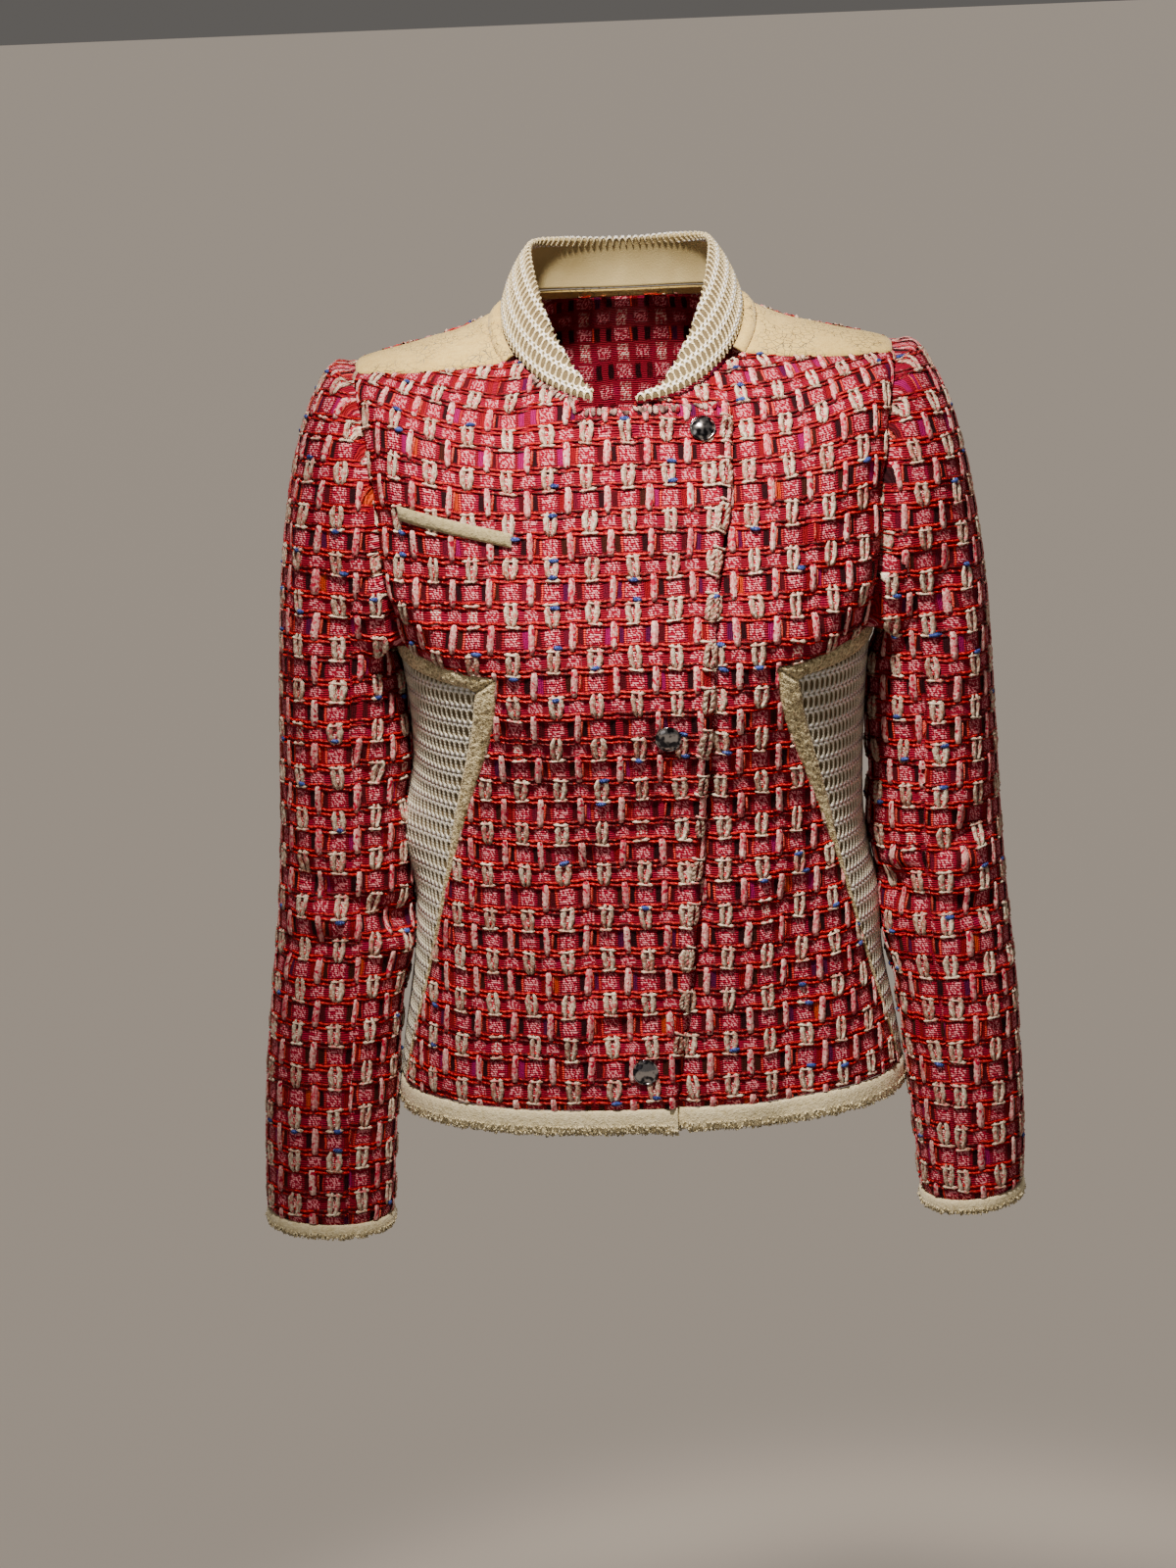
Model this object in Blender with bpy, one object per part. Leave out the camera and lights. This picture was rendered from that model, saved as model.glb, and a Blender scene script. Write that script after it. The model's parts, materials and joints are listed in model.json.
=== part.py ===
"""Cropped tweed jacket as worn: tweed fronts, back and sleeves, suede yokes and bindings, mesh side panels.

Metres, +Z up. The wearer faces -Y and the wearer's left is +X. The origin is the middle of the neck
opening, level with the points where the collar meets the shoulders.

Every piece is a thin wall on one of three surfaces: the body, the sleeves and the collar. A point of the
body surface is given by theta, the angle from the centre front, and by v, which grows from the neck seam
to the hem.
"""
import math

import bmesh
import bpy
import numpy as np

# ---------------------------------------------------------------- driving dimensions
SEAM = 0.00045           # gap between neighbouring pieces
TWEED = 0.0020           # wall thicknesses
NET = 0.0014
SUEDE = 0.0026
YOKE = 0.0016
INSIDE = -0.0010         # inner face of every wall, from the body surface
HEM_HEIGHT = 0.0165
HEM_THICK = 0.0040
CUFF_HEIGHT = 0.0125
CUFF_THICK = 0.0040
UNDERLAP = 0.0042        # how far the under front is set back behind the flap
HEM_UNDERLAP = 0.0054    # the same for its thicker hem binding
UNDERLAP_WIDTH = 0.062
UNDERLAP_NEAR = 0.0025   # past the flap's edge, where the under front is fully set back
UNDERLAP_FAR = 0.0110    # and where it has come up to the body's own surface
SNAP_RADIUS = 0.0087
SNAP_RISE = 0.0034
WELT_WIDTH = 0.0095
WELT_THICK = 0.0022
LAID_CLEAR = 0.0008      # under the welt and the snaps, which span the front's facets
STRIP_FREE_V = 0.0006    # v of the two edges of the suede strip at the foot of the collar
STRIP_V = 0.006
SHOULDER_V = 0.044       # v of the shoulder point
UNDERARM_V = 0.190
HEM_SEAM_V = 0.500
HEM_SEAM_Z = -0.5215     # height of the hem seam in front
HEM_GIRTH = 0.14         # metres to a radian of theta where the hem bindings meet
WIDEST = 0.19            # half width that no ring of the body passes
SIDE_SEAM = math.radians(112)
BAND_END = math.radians(71)

# Rings of the body from neck to hem. square is the power of the ring's rounded outline, tilt the slope
# of the ring where it crosses the side.
BODY_COLUMNS = ("v", "half_width", "front", "back", "square", "z_front", "z_side", "z_back", "tilt")
BODY = (
    (0.000, 0.080, 0.078, 0.060, 2.2, -0.051, 0.001, 0.010, 0.50),    # neck seam
    (0.014, 0.104, 0.085, 0.070, 2.3, -0.068, -0.010, -0.004, 0.22),
    (0.028, 0.142, 0.092, 0.082, 2.5, -0.087, -0.018, -0.022, 0.06),
    (0.044, 0.180, 0.098, 0.090, 2.8, -0.106, -0.028, -0.040, 0.00),  # shoulder point
    (0.072, 0.181, 0.105, 0.097, 3.0, -0.132, -0.066, -0.072, 0.00),
    (0.108, 0.180, 0.110, 0.102, 3.0, -0.162, -0.110, -0.112, 0.00),
    (0.140, 0.175, 0.115, 0.104, 2.9, -0.190, -0.152, -0.150, 0.00),
    (0.172, 0.167, 0.118, 0.102, 2.7, -0.214, -0.188, -0.182, 0.00),
    (0.204, 0.158, 0.118, 0.098, 2.5, -0.240, -0.222, -0.216, 0.00),  # underarm
    (0.250, 0.153, 0.114, 0.090, 2.4, -0.284, -0.270, -0.264, 0.00),
    (0.320, 0.150, 0.108, 0.083, 2.4, -0.348, -0.338, -0.334, 0.00),  # waist
    (0.410, 0.158, 0.108, 0.092, 2.4, -0.434, -0.428, -0.426, 0.00),
    (0.500, 0.172, 0.112, 0.106, 2.4, -0.522, -0.519, -0.520, 0.00),  # hem seam
    (0.540, 0.175, 0.113, 0.108, 2.4, -0.560, -0.559, -0.560, 0.00),
)

# Soft folds: a ridge (rise above 0) or trough along a line, on the face it is seen from. a and b are x
# on the front and back, y on the sides.
FOLD_COLUMNS = ("face", "a1", "z1", "a2", "z2", "width", "rise")
FOLDS = (
    ("front", -0.080, -0.215, -0.052, -0.245, 0.048, 0.0070),   # fullness over the chest
    ("front", 0.080, -0.215, 0.056, -0.245, 0.048, 0.0070),
    ("front", -0.082, -0.045, -0.070, -0.145, 0.013, -0.0028),  # dart below the yoke
    ("front", -0.158, -0.125, -0.120, -0.190, 0.012, -0.0030),  # pulls from the armholes
    ("front", -0.150, -0.170, -0.112, -0.212, 0.012, 0.0028),
    ("front", 0.160, -0.120, 0.118, -0.185, 0.013, -0.0030),
    ("front", 0.150, -0.170, 0.112, -0.212, 0.012, 0.0028),
    ("front", -0.040, -0.360, -0.022, -0.465, 0.016, -0.0055),  # trough of the lower front
    ("front", -0.066, -0.330, -0.052, -0.500, 0.015, 0.0035),
    ("front", -0.012, -0.445, -0.052, -0.468, 0.011, 0.0035),
    ("front", 0.096, -0.385, 0.100, -0.510, 0.012, -0.0035),
    ("front", 0.070, -0.360, 0.070, -0.520, 0.014, 0.0030),
    ("right", -0.010, -0.345, 0.030, -0.330, 0.034, 0.0130),    # mesh bellows out at the waist
    ("left", -0.010, -0.400, 0.030, -0.380, 0.030, 0.0040),
    ("back", -0.070, -0.240, -0.030, -0.330, 0.018, -0.0030),
    ("back", 0.075, -0.230, 0.030, -0.340, 0.018, -0.0030),
    ("back", -0.060, -0.390, -0.072, -0.510, 0.018, 0.0040),
    ("back", 0.050, -0.380, 0.066, -0.510, 0.018, 0.0040),
    ("back", 0.000, -0.330, 0.000, -0.480, 0.020, -0.0040),
)
FACES = {"front": (0, -1, 0), "back": (0, 1, 0), "right": (-1, 0, 0), "left": (1, 0, 0)}

# Armhole, as angles in front of and behind the side, down from the shoulder point.
ARMHOLE_COLUMNS = ("v", "ahead", "behind")
ARMHOLE = (
    (0.044, 7.0, 8.0),
    (0.056, 14.0, 16.0),
    (0.080, 19.0, 22.0),
    (0.115, 21.0, 25.0),
    (0.150, 21.0, 25.0),
    (UNDERARM_V, 19.0, 22.0),
)

# Front-view places, x from the centre and z from the neck.
CORNER = (0.089, -0.224)          # corner of the suede band, on the tweed's side
MITRE = (0.1045, -0.2355)         # and on the mesh's side
BAND_WIDTH = 0.0145
BAND_TAPER = 0.25                 # share of its width that the bar loses towards the mitre
BAND_TURN = 0.9                   # radians over which it does
LEG_START = 0.012                 # drop below the mitre from which the leg's own widths hold
# Edge of the tweed beside the mesh, corner to hem, with the width of the suede leg along it.
LEG_COLUMNS = ("z", "x", "width")
LEG = (
    (-0.224, 0.0890, 0.0160),
    (-0.256, 0.0935, 0.0160),
    (-0.296, 0.1070, 0.0130),
    (-0.328, 0.1180, 0.0100),
    (-0.360, 0.1280, 0.0050),
    (-0.400, 0.1385, 0.0035),
    (-0.440, 0.1485, 0.0032),
    (-0.480, 0.1595, 0.0030),
    (-0.518, 0.1685, 0.0030),
)
# Closing edge of the flap, top corner to hem.
CLOSING_COLUMNS = ("z", "x")
CLOSING = (
    (-0.060, 0.0690),
    (-0.110, 0.0660),
    (-0.160, 0.0570),
    (-0.250, 0.0480),
    (-0.320, 0.0420),
    (-0.380, 0.0360),
    (-0.440, 0.0280),
    (-0.500, 0.0180),
    (-0.540, 0.0140),
)
FLAP_TOP_Z = -0.0545
FLAP_RADIUS = 0.009               # rounded corner of the flap
FLAP_START_X = -0.030             # where the flap's top edge leaves the neck seam
YOKE_INNER = math.radians(62)     # where the front yoke seam meets the neck, each side
YOKE_BACK = math.radians(118)     # where the back yoke seam meets the neck
WELT = ((-0.152, -0.1130), (-0.078, -0.1310))
SNAPS = (("top", 0.0495, -0.0700), ("middle", 0.0190, -0.2675), ("bottom", -0.0045, -0.4965))

# The sleeve: outer and inner lines seen from the front, front and back lines seen from the side.
# The wearer's left sleeve is narrower by trim at its outer line.
SLEEVE_COLUMNS = ("s", "outer_x", "outer_z", "inner_x", "inner_z", "y_front", "y_back", "trim")
SLEEVE = (
    (0.00, 0.1800, -0.028, 0.1625, -0.208, -0.046, 0.046, 0.000),   # replaced by the armhole
    (0.02, 0.1920, -0.028, 0.1685, -0.2075, -0.051, 0.050, 0.000),
    (0.05, 0.2050, -0.044, 0.1715, -0.213, -0.055, 0.054, 0.000),
    (0.09, 0.2180, -0.074, 0.1725, -0.226, -0.058, 0.056, 0.000),
    (0.14, 0.2275, -0.114, 0.1720, -0.246, -0.059, 0.058, 0.000),
    (0.22, 0.2365, -0.182, 0.1705, -0.284, -0.059, 0.060, 0.000),
    (0.32, 0.2415, -0.256, 0.1680, -0.322, -0.057, 0.062, 0.001),
    (0.44, 0.2450, -0.332, 0.1645, -0.362, -0.055, 0.061, 0.002),
    (0.56, 0.2500, -0.398, 0.1650, -0.408, -0.057, 0.053, 0.004),
    (0.68, 0.2575, -0.458, 0.1710, -0.464, -0.062, 0.042, 0.007),
    (0.82, 0.2645, -0.526, 0.1780, -0.534, -0.067, 0.030, 0.012),
    (0.92, 0.2670, -0.574, 0.1820, -0.582, -0.069, 0.024, 0.014),
    (1.00, 0.2680, -0.605, 0.1840, -0.611, -0.070, 0.020, 0.016),   # cuff seam
    (1.04, 0.2685, -0.624, 0.1845, -0.630, -0.070, 0.018, 0.016),
)
SLEEVE_SQUARE = 2.15
SLEEVE_LENGTH = 0.62              # metres along the sleeve to one of s
SLEEVE_RADIUS = 0.05              # metres round the sleeve to a radian
ARMHOLE_FADE = 0.16               # share of the sleeve over which the armhole's own outline fades
SEAM_TURN = 0.03                  # share over which the wall turns from the body's face to the sleeve's
# Creases of the sleeves: around is degrees from the outer line towards the front, s as above.
CREASE_COLUMNS = ("side", "around1", "s1", "around2", "s2", "width", "rise")
CREASES = (
    (-1, 60, 0.50, 150, 0.545, 0.012, -0.0050),
    (-1, 75, 0.55, 150, 0.590, 0.012, 0.0040),
    (-1, 40, 0.60, 140, 0.560, 0.012, -0.0035),
    (-1, 75, 0.18, 120, 0.300, 0.014, -0.0040),
    (-1, 50, 0.14, 95, 0.260, 0.014, 0.0030),
    (1, 60, 0.46, 150, 0.520, 0.012, -0.0045),
    (1, 60, 0.58, 140, 0.540, 0.012, -0.0040),
    (1, 70, 0.50, 140, 0.480, 0.012, 0.0035),
    (1, 75, 0.16, 120, 0.280, 0.014, -0.0040),
    (-1, 250, 0.46, 320, 0.500, 0.016, 0.0040),
    (1, 250, 0.48, 320, 0.510, 0.016, 0.0040),
    (-1, 230, 0.20, 280, 0.120, 0.016, -0.0030),
    (1, 230, 0.20, 280, 0.120, 0.016, -0.0030),
)

# The collar by angle round the neck seam: how far its top edge rises and leans in.
COLLAR_COLUMNS = ("theta", "rise", "lean")
COLLAR = (
    (6, 0.0030, 0.0010),
    (17, 0.0060, 0.0040),
    (30, 0.0160, 0.0120),
    (50, 0.0280, 0.0190),
    (70, 0.0360, 0.0215),
    (90, 0.0380, 0.0200),
    (130, 0.0350, 0.0130),
    (180, 0.0340, 0.0060),
)
COLLAR_END_RIGHT = -17
COLLAR_END_LEFT = 6
COLLAR_THICK = 0.0026
COLLAR_CROWN = 0.0030             # outward bow of the collar between its seam and its fold
COLLAR_LIFT = 0.0004      # of the whole collar over the neck seam
SNAP_SECTION = ((0.86, 0.0), (1.0, 0.22), (0.97, 0.5), (0.80, 0.82), (0.45, 0.96))   # shares of radius, rise
BOUND_SECTION = ((0.00, 0.75), (0.30, 1.0), (0.80, 1.0), (1.00, 0.45))   # shares of height, half thickness

# Rows and columns of the walls. Neighbours share the places of their seam.
UPPER_ROWS = 8                    # shoulder to underarm
LOWER_ROWS = 14                   # underarm to hem
BAND_COLUMNS = 4
UNDERARM_COLUMNS = 4
SHOULDER_COLUMNS = 2
YOKE_COLUMNS = 10                 # along the seams of a yoke with the front and the back
NECK_COLUMNS = 6                  # of a yoke along the neck
BACK_NECK_COLUMNS = 10
COLLAR_COLUMNS_ROUND = 36
COLLAR_ROWS = 5
SNAP_SIDES = 20
SLEEVE_STOPS = (0.0, 0.02, 0.045, 0.075, 0.11, 0.15, 0.20, 0.25, 0.30, 0.35, 0.40, 0.44, 0.48, 0.515, 0.55,
                0.59, 0.63, 0.68, 0.74, 0.80, 0.87, 0.94, 1.0)
FRONT_SPLIT = UPPER_ROWS          # columns of the armhole ring where the two sleeve seams start
BACK_SPLIT = 2 * UPPER_ROWS

CLOTHS = {
    "tweed": ((0.62, 0.10, 0.16), 0.85, 0.0),
    "net": ((0.86, 0.83, 0.76), 0.55, 0.0),
    "suede": ((0.72, 0.66, 0.50), 0.95, 0.0),
    "metal": ((0.22, 0.22, 0.24), 0.22, 1.0),
}


# ---------------------------------------------------------------- tables and surfaces
def column(table, names, name):
    return np.array([row[names.index(name)] for row in table], dtype=float)


def smooth(knots, values, at):
    """Curve through the rows of a table that never overshoots between two of them."""
    at = np.clip(np.asarray(at, dtype=float), knots[0], knots[-1])
    step = np.diff(knots)
    slope = np.diff(values) / step
    tangent = np.zeros(len(knots))
    tangent[0] = slope[0]
    tangent[-1] = slope[-1]
    for i in range(1, len(knots) - 1):
        if slope[i - 1] * slope[i] > 0:
            before = 2 * step[i] + step[i - 1]
            after = step[i] + 2 * step[i - 1]
            tangent[i] = (before + after) / (before / slope[i - 1] + after / slope[i])
    i = np.clip(np.searchsorted(knots, at, side="right") - 1, 0, len(knots) - 2)
    t = (at - knots[i]) / step[i]
    return (values[i] * (1 + 2 * t) * (1 - t) ** 2 + tangent[i] * step[i] * t * (1 - t) ** 2
            + values[i + 1] * t * t * (3 - 2 * t) - tangent[i + 1] * step[i] * t * t * (1 - t))


def read(table, names, name, at):
    return smooth(column(table, names, names[0]), column(table, names, name), at)


def unit(vectors):
    length = np.linalg.norm(vectors, axis=-1, keepdims=True)
    return vectors / np.maximum(length, 1e-12)


def ease(value):
    value = np.clip(value, 0.0, 1.0)
    return value * value * (3 - 2 * value)


def body_plain(theta, v):
    """The body surface before its folds."""
    along, across = np.cos(theta), np.sin(theta)
    ahead = along > 0
    depth = np.where(ahead, read(BODY, BODY_COLUMNS, "front", v), read(BODY, BODY_COLUMNS, "back", v))
    square = read(BODY, BODY_COLUMNS, "square", v)
    half_width = read(BODY, BODY_COLUMNS, "half_width", v)
    radius = ((np.abs(along) / depth) ** square + (np.abs(across) / half_width) ** square) ** (-1 / square)
    reach = radius * np.abs(along) / depth
    z_side = read(BODY, BODY_COLUMNS, "z_side", v)
    z_end = np.where(ahead, read(BODY, BODY_COLUMNS, "z_front", v), read(BODY, BODY_COLUMNS, "z_back", v))
    slope = np.where(ahead, -1, 1) * read(BODY, BODY_COLUMNS, "tilt", v) * depth
    z = z_side + (z_end - z_side) * reach ** 2 + slope * reach * (1 - reach)
    return np.stack([radius * across, -radius * along, z], axis=-1)


def slope_normal(surface, a, b, step_a=0.004, step_b=0.0008):
    """Outward unit normal of a surface given by two parameters."""
    by_a = surface(a + step_a, b) - surface(a - step_a, b)
    by_b = surface(a, b + step_b) - surface(a, b - step_b)
    return unit(np.cross(by_b, by_a))


def line_share(a, z, a1, z1, a2, z2, width):
    """1 on the line between two points, falling softly to 0 beside it and past its ends."""
    along = np.array([a2 - a1, z2 - z1])
    length = np.linalg.norm(along)
    along = along / length
    run = (a - a1) * along[0] + (z - z1) * along[1]
    off = (a - a1) * along[1] - (z - z1) * along[0]
    past = np.maximum(np.maximum(-run, run - length), 0.0)
    return np.exp(-(off / width) ** 2 - (past / width) ** 2)


def body_folds(points, normals):
    total = np.zeros(points.shape[:-1])
    for face, a1, z1, a2, z2, width, rise in FOLDS:
        facing = np.clip(normals @ np.array(FACES[face], dtype=float), 0.0, 1.0)
        a = points[..., 0] if face in ("front", "back") else points[..., 1]
        total = total + rise * np.sqrt(facing) * line_share(a, points[..., 2], a1, z1, a2, z2, width)
    return total


def body(theta, v):
    """The body surface with its folds."""
    points = body_plain(theta, v)
    normals = slope_normal(body_plain, theta, v)
    return points + normals * body_folds(points, normals)[..., None]


def place(x, z, back=False):
    """theta and v of the plain body surface at x and z, seen from the front or the back."""
    theta = math.asin(x / WIDEST)
    if back:
        theta = math.pi - theta
    v = min(max(-z - 0.02, 0.01), 0.5)
    for _ in range(40):
        here = body_plain(theta, v)
        miss = np.array([x - here[0], z - here[2]])
        by_theta = (body_plain(theta + 1e-4, v) - here)[[0, 2]] / 1e-4
        by_v = (body_plain(theta, v + 1e-4) - here)[[0, 2]] / 1e-4
        change = np.linalg.solve(np.column_stack([by_theta, by_v]), miss)
        theta += float(np.clip(change[0], -0.15, 0.15))
        v += float(np.clip(change[1], -0.03, 0.03))
    return theta, v


# ---------------------------------------------------------------- grids and walls
def evenly(path, count, surface=body_plain):
    """count + 1 places at equal distances along a path of (theta, v) places."""
    path = np.array(path, dtype=float)
    points = surface(path[:, 0], path[:, 1])
    run = np.concatenate([[0], np.cumsum(np.linalg.norm(np.diff(points, axis=0), axis=1))])
    at = np.linspace(0, run[-1], count + 1)
    return np.column_stack([np.interp(at, run, path[:, 0]), np.interp(at, run, path[:, 1])])


def chain(*stretches):
    """Joins stretches of places that share their end places."""
    return np.vstack([stretches[0]] + [stretch[1:] for stretch in stretches[1:]])


def patch(top, bottom, left, right):
    """Grid of places that fills four edges; top and bottom run left to right, the others downwards."""
    s = np.linspace(0, 1, len(top))[None, :, None]
    t = np.linspace(0, 1, len(left))[:, None, None]
    top_bow = top[None] - ((1 - s) * top[0] + s * top[-1])
    bottom_bow = bottom[None] - ((1 - s) * bottom[0] + s * bottom[-1])
    return (1 - s) * left[:, None] + s * right[:, None] + (1 - t) ** 1.5 * top_bow + t ** 1.5 * bottom_bow


def grid_faces(rows, columns, first=0):
    """Faces of a grid of places, counted row by row, seen from outside."""
    faces = []
    for r in range(rows - 1):
        for c in range(columns - 1):
            a = first + r * columns + c
            faces.append((a, a + columns, a + columns + 1, a + 1))
    return faces


def weld(grids):
    """One list of places and faces from several grids; places that coincide are merged."""
    places, faces, seen = [], [], {}
    for grid in grids:
        rows, columns = grid.shape[:2]
        index = []
        for spot in grid.reshape(-1, 2):
            key = (round(spot[0], 6), round(spot[1], 6))
            if key not in seen:
                seen[key] = len(places)
                places.append(spot)
            index.append(seen[key])
        faces += [tuple(index[i] for i in face) for face in grid_faces(rows, columns)]
    return np.array(places), faces


def edge_ring(faces):
    """Edges that belong to one face only, in the direction that face runs."""
    count = {}
    for face in faces:
        for a, b in zip(face, face[1:] + face[:1]):
            count[(a, b)] = count.get((a, b), 0) + 1
    return [(a, b) for (a, b) in count if (b, a) not in count]


def drawn_in(points, faces, gap):
    """Moves the edge of a sheet inwards along the sheet by a distance."""
    owner = {}
    for face in faces:
        for a, b in zip(face, face[1:] + face[:1]):
            owner[(a, b)] = face
    pull = {}
    for a, b in edge_ring(faces):
        centre = points[list(owner[(a, b)])].mean(axis=0)
        along = unit(points[b] - points[a])
        inward = centre - points[a]
        inward = unit(inward - along * (inward @ along))
        pull.setdefault(a, []).append(inward)
        pull.setdefault(b, []).append(inward)
    moved = points.copy()
    for i, ways in pull.items():
        total = np.sum(ways, axis=0)
        share = 1 + (ways[0] @ ways[1] if len(ways) > 1 else 1)
        moved[i] = points[i] + total * gap / max(share, 0.15)
    return moved


def cloth_material(name, cloth):
    colour, roughness, metallic = CLOTHS[cloth]
    material = bpy.data.materials.new(name)
    material.use_nodes = True
    shader = material.node_tree.nodes["Principled BSDF"]
    shader.inputs["Base Color"].default_value = (*colour, 1.0)
    shader.inputs["Roughness"].default_value = roughness
    shader.inputs["Metallic"].default_value = metallic
    return material


def add_object(name, verts, faces, cloth):
    mesh = bpy.data.meshes.new(name)
    mesh.from_pydata([tuple(v) for v in verts], [], faces)
    mesh.validate()
    mesh.materials.append(cloth_material(name, cloth))
    mesh.shade_smooth()
    mesh.set_sharp_from_angle(angle=math.radians(50))
    made = bpy.data.objects.new(name, mesh)
    bpy.context.scene.collection.objects.link(made)
    return made


def add_wall(name, points, normals, faces, inner, outer, cloth, trim=SEAM / 2):
    """Closed wall between two offsets of a sheet, with its edge closed by a rim."""
    points = drawn_in(points, faces, trim)
    verts = np.vstack([points + normals * np.reshape(outer, (-1, 1)),
                       points + normals * np.reshape(inner, (-1, 1))])
    count = len(points)
    solid = list(faces)
    solid += [tuple(i + count for i in reversed(face)) for face in faces]
    solid += [(b, a, a + count, b + count) for a, b in edge_ring(faces)]
    return add_object(name, verts, solid, cloth)


def add_tube(name, rings, cloth, closed):
    """Solid swept along a run of rings of points; closed joins the last ring to the first."""
    runs, sides = rings.shape[:2]
    faces = []
    for r in range(runs if closed else runs - 1):
        after = (r + 1) % runs
        for c in range(sides):
            d = (c + 1) % sides
            faces.append((r * sides + c, r * sides + d, after * sides + d, after * sides + c))
    if not closed:
        faces.append(tuple(reversed(range(sides))))
        faces.append(tuple((runs - 1) * sides + c for c in range(sides)))
    made = add_object(name, rings.reshape(-1, 3), faces, cloth)
    shape = bmesh.new()
    shape.from_mesh(made.data)
    bmesh.ops.recalc_face_normals(shape, faces=shape.faces)
    shape.to_mesh(made.data)
    shape.free()
    return made


# ---------------------------------------------------------------- seam lines on the body
def mirrored(path):
    return np.array(path) * np.array([-1.0, 1.0])


def armhole(part, count):
    """Front or back edge of the wearer's left armhole, shoulder to underarm."""
    v = np.linspace(SHOULDER_V, UNDERARM_V, 40)
    if part == "front":
        theta = math.pi / 2 - np.radians(read(ARMHOLE, ARMHOLE_COLUMNS, "ahead", v))
    else:
        theta = math.pi / 2 + np.radians(read(ARMHOLE, ARMHOLE_COLUMNS, "behind", v))
    return evenly(np.column_stack([theta, v]), count)


def band_top_v(theta, corner):
    """v of the suede band's upper edge, which falls a little from the side to the corner."""
    share = ease((BAND_END - theta) / (BAND_END - corner[0]))
    return UNDERARM_V + share * (corner[1] - UNDERARM_V)


def leg_edge(z):
    return place(float(read(LEG[::-1], LEG_COLUMNS, "x", z)), z)


def closing_x(z):
    return float(read(CLOSING[::-1], CLOSING_COLUMNS, "x", z))


HEM_END_V = HEM_SEAM_V + HEM_HEIGHT
CORNER_PLACE = place(*CORNER)

ARM_FRONT = armhole("front", UPPER_ROWS)
ARM_BACK = armhole("back", UPPER_ROWS)
ARM_LOW = evenly([(BAND_END, UNDERARM_V), (SIDE_SEAM, UNDERARM_V)], UNDERARM_COLUMNS)
ARM_TOP = evenly([tuple(ARM_FRONT[0]), tuple(ARM_BACK[0])], SHOULDER_COLUMNS)
BAND_TOP = evenly([(t, band_top_v(t, CORNER_PLACE)) for t in np.linspace(CORNER_PLACE[0], BAND_END, 20)],
                  BAND_COLUMNS)
LEG_PATH = [leg_edge(z) for z in np.linspace(CORNER[1], LEG[-1][0], 30)]
LEG_PATH[-1] = (LEG_PATH[-1][0], HEM_SEAM_V)
LEG_EDGE = evenly(LEG_PATH, LOWER_ROWS)
LEG_EDGE_END = float(LEG_EDGE[-1][0])
YOKE_FRONT = evenly([(YOKE_INNER, STRIP_V), tuple(ARM_FRONT[0])], YOKE_COLUMNS)
YOKE_REAR = evenly([(YOKE_BACK, STRIP_V), tuple(ARM_BACK[0])], YOKE_COLUMNS)
YOKE_NECK = evenly([(t, STRIP_V) for t in np.linspace(YOKE_INNER, YOKE_BACK, 9)], NECK_COLUMNS)
BACK_NECK = evenly([(t, STRIP_V) for t in np.linspace(YOKE_BACK, 2 * math.pi - YOKE_BACK, 19)],
                   BACK_NECK_COLUMNS)


def clear_scene():
    for item in list(bpy.data.objects):
        bpy.data.objects.remove(item, do_unlink=True)


# ---------------------------------------------------------------- panels of the body
def add_panel(name, grids, cloth, thick, set_back=None, lift=0.0, trim=SEAM / 2):
    places, faces = weld(grids)
    theta, v = places[:, 0], places[:, 1]
    points = body(theta, v)
    normals = slope_normal(body_plain, theta, v)
    shift = np.full(len(places), lift)
    if set_back is not None:
        shift = shift + set_back(theta, v)
    return add_wall(name, points, normals, faces, INSIDE + shift, INSIDE + thick + shift, cloth, trim)


def front_grids(inner_upper, inner_lower, top, sign):
    """Upper block down to the underarm and lower block beside the mesh, from the inner edge outwards."""
    outer_upper = ARM_FRONT if sign > 0 else mirrored(ARM_FRONT)
    leg = LEG_EDGE if sign > 0 else mirrored(LEG_EDGE)
    band = BAND_TOP if sign > 0 else mirrored(BAND_TOP)
    inner_columns = len(top) - len(band)
    across = evenly([tuple(inner_upper[-1]), tuple(leg[0])], inner_columns)
    hem = evenly([tuple(inner_lower[-1]), tuple(leg[-1])], inner_columns)
    grids = [patch(top, chain(across, band), inner_upper, outer_upper),
             patch(across, hem, inner_lower, leg)]
    if sign < 0:
        grids = [grid[:, ::-1] for grid in grids]
    return grids


def add_front_right():
    """Overlapping front with the flap; its closing edge is past the centre, on the wearer's left."""
    edge_z = np.linspace(FLAP_TOP_Z - FLAP_RADIUS, CORNER[1], 24)
    upper = [place(closing_x(z), z) for z in edge_z]
    upper = evenly(upper, UPPER_ROWS)
    lower = [place(closing_x(z), z) for z in np.linspace(CORNER[1], HEM_SEAM_Z, 24)]
    lower[-1] = (lower[-1][0], HEM_SEAM_V)
    lower = evenly(lower, LOWER_ROWS)
    edge_x = closing_x(FLAP_TOP_Z)
    turn = [place(edge_x - FLAP_RADIUS + FLAP_RADIUS * math.cos(a),
                  FLAP_TOP_Z - FLAP_RADIUS + FLAP_RADIUS * math.sin(a))
            for a in np.radians((0, 30, 60, 90))]
    flap = [place(x, FLAP_TOP_Z) for x in np.linspace(edge_x - FLAP_RADIUS, FLAP_START_X, 10)]
    start = flap[-1]
    neck = [(t, STRIP_FREE_V) for t in np.linspace(start[0] - 0.03, -YOKE_INNER, 10)]
    top = chain(np.array(turn), evenly(flap, 4), evenly([start] + neck, 3))
    top[-1] = (-YOKE_INNER, STRIP_V)
    top = chain(top, mirrored(YOKE_FRONT))
    return add_panel("front_right", front_grids(upper, lower, top, -1), "tweed", TWEED)


def underlap_x(z, share):
    """Lines beside the flap's edge; share 0 is the far one and 1 the near one, and both lean at the neck."""
    lean = ease((-0.034 - z) / 0.030)
    far = closing_x(z) + UNDERLAP_FAR * lean
    near = closing_x(z) - 0.004 + (UNDERLAP_NEAR + 0.004) * lean
    return far + (near - far) * share


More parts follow.
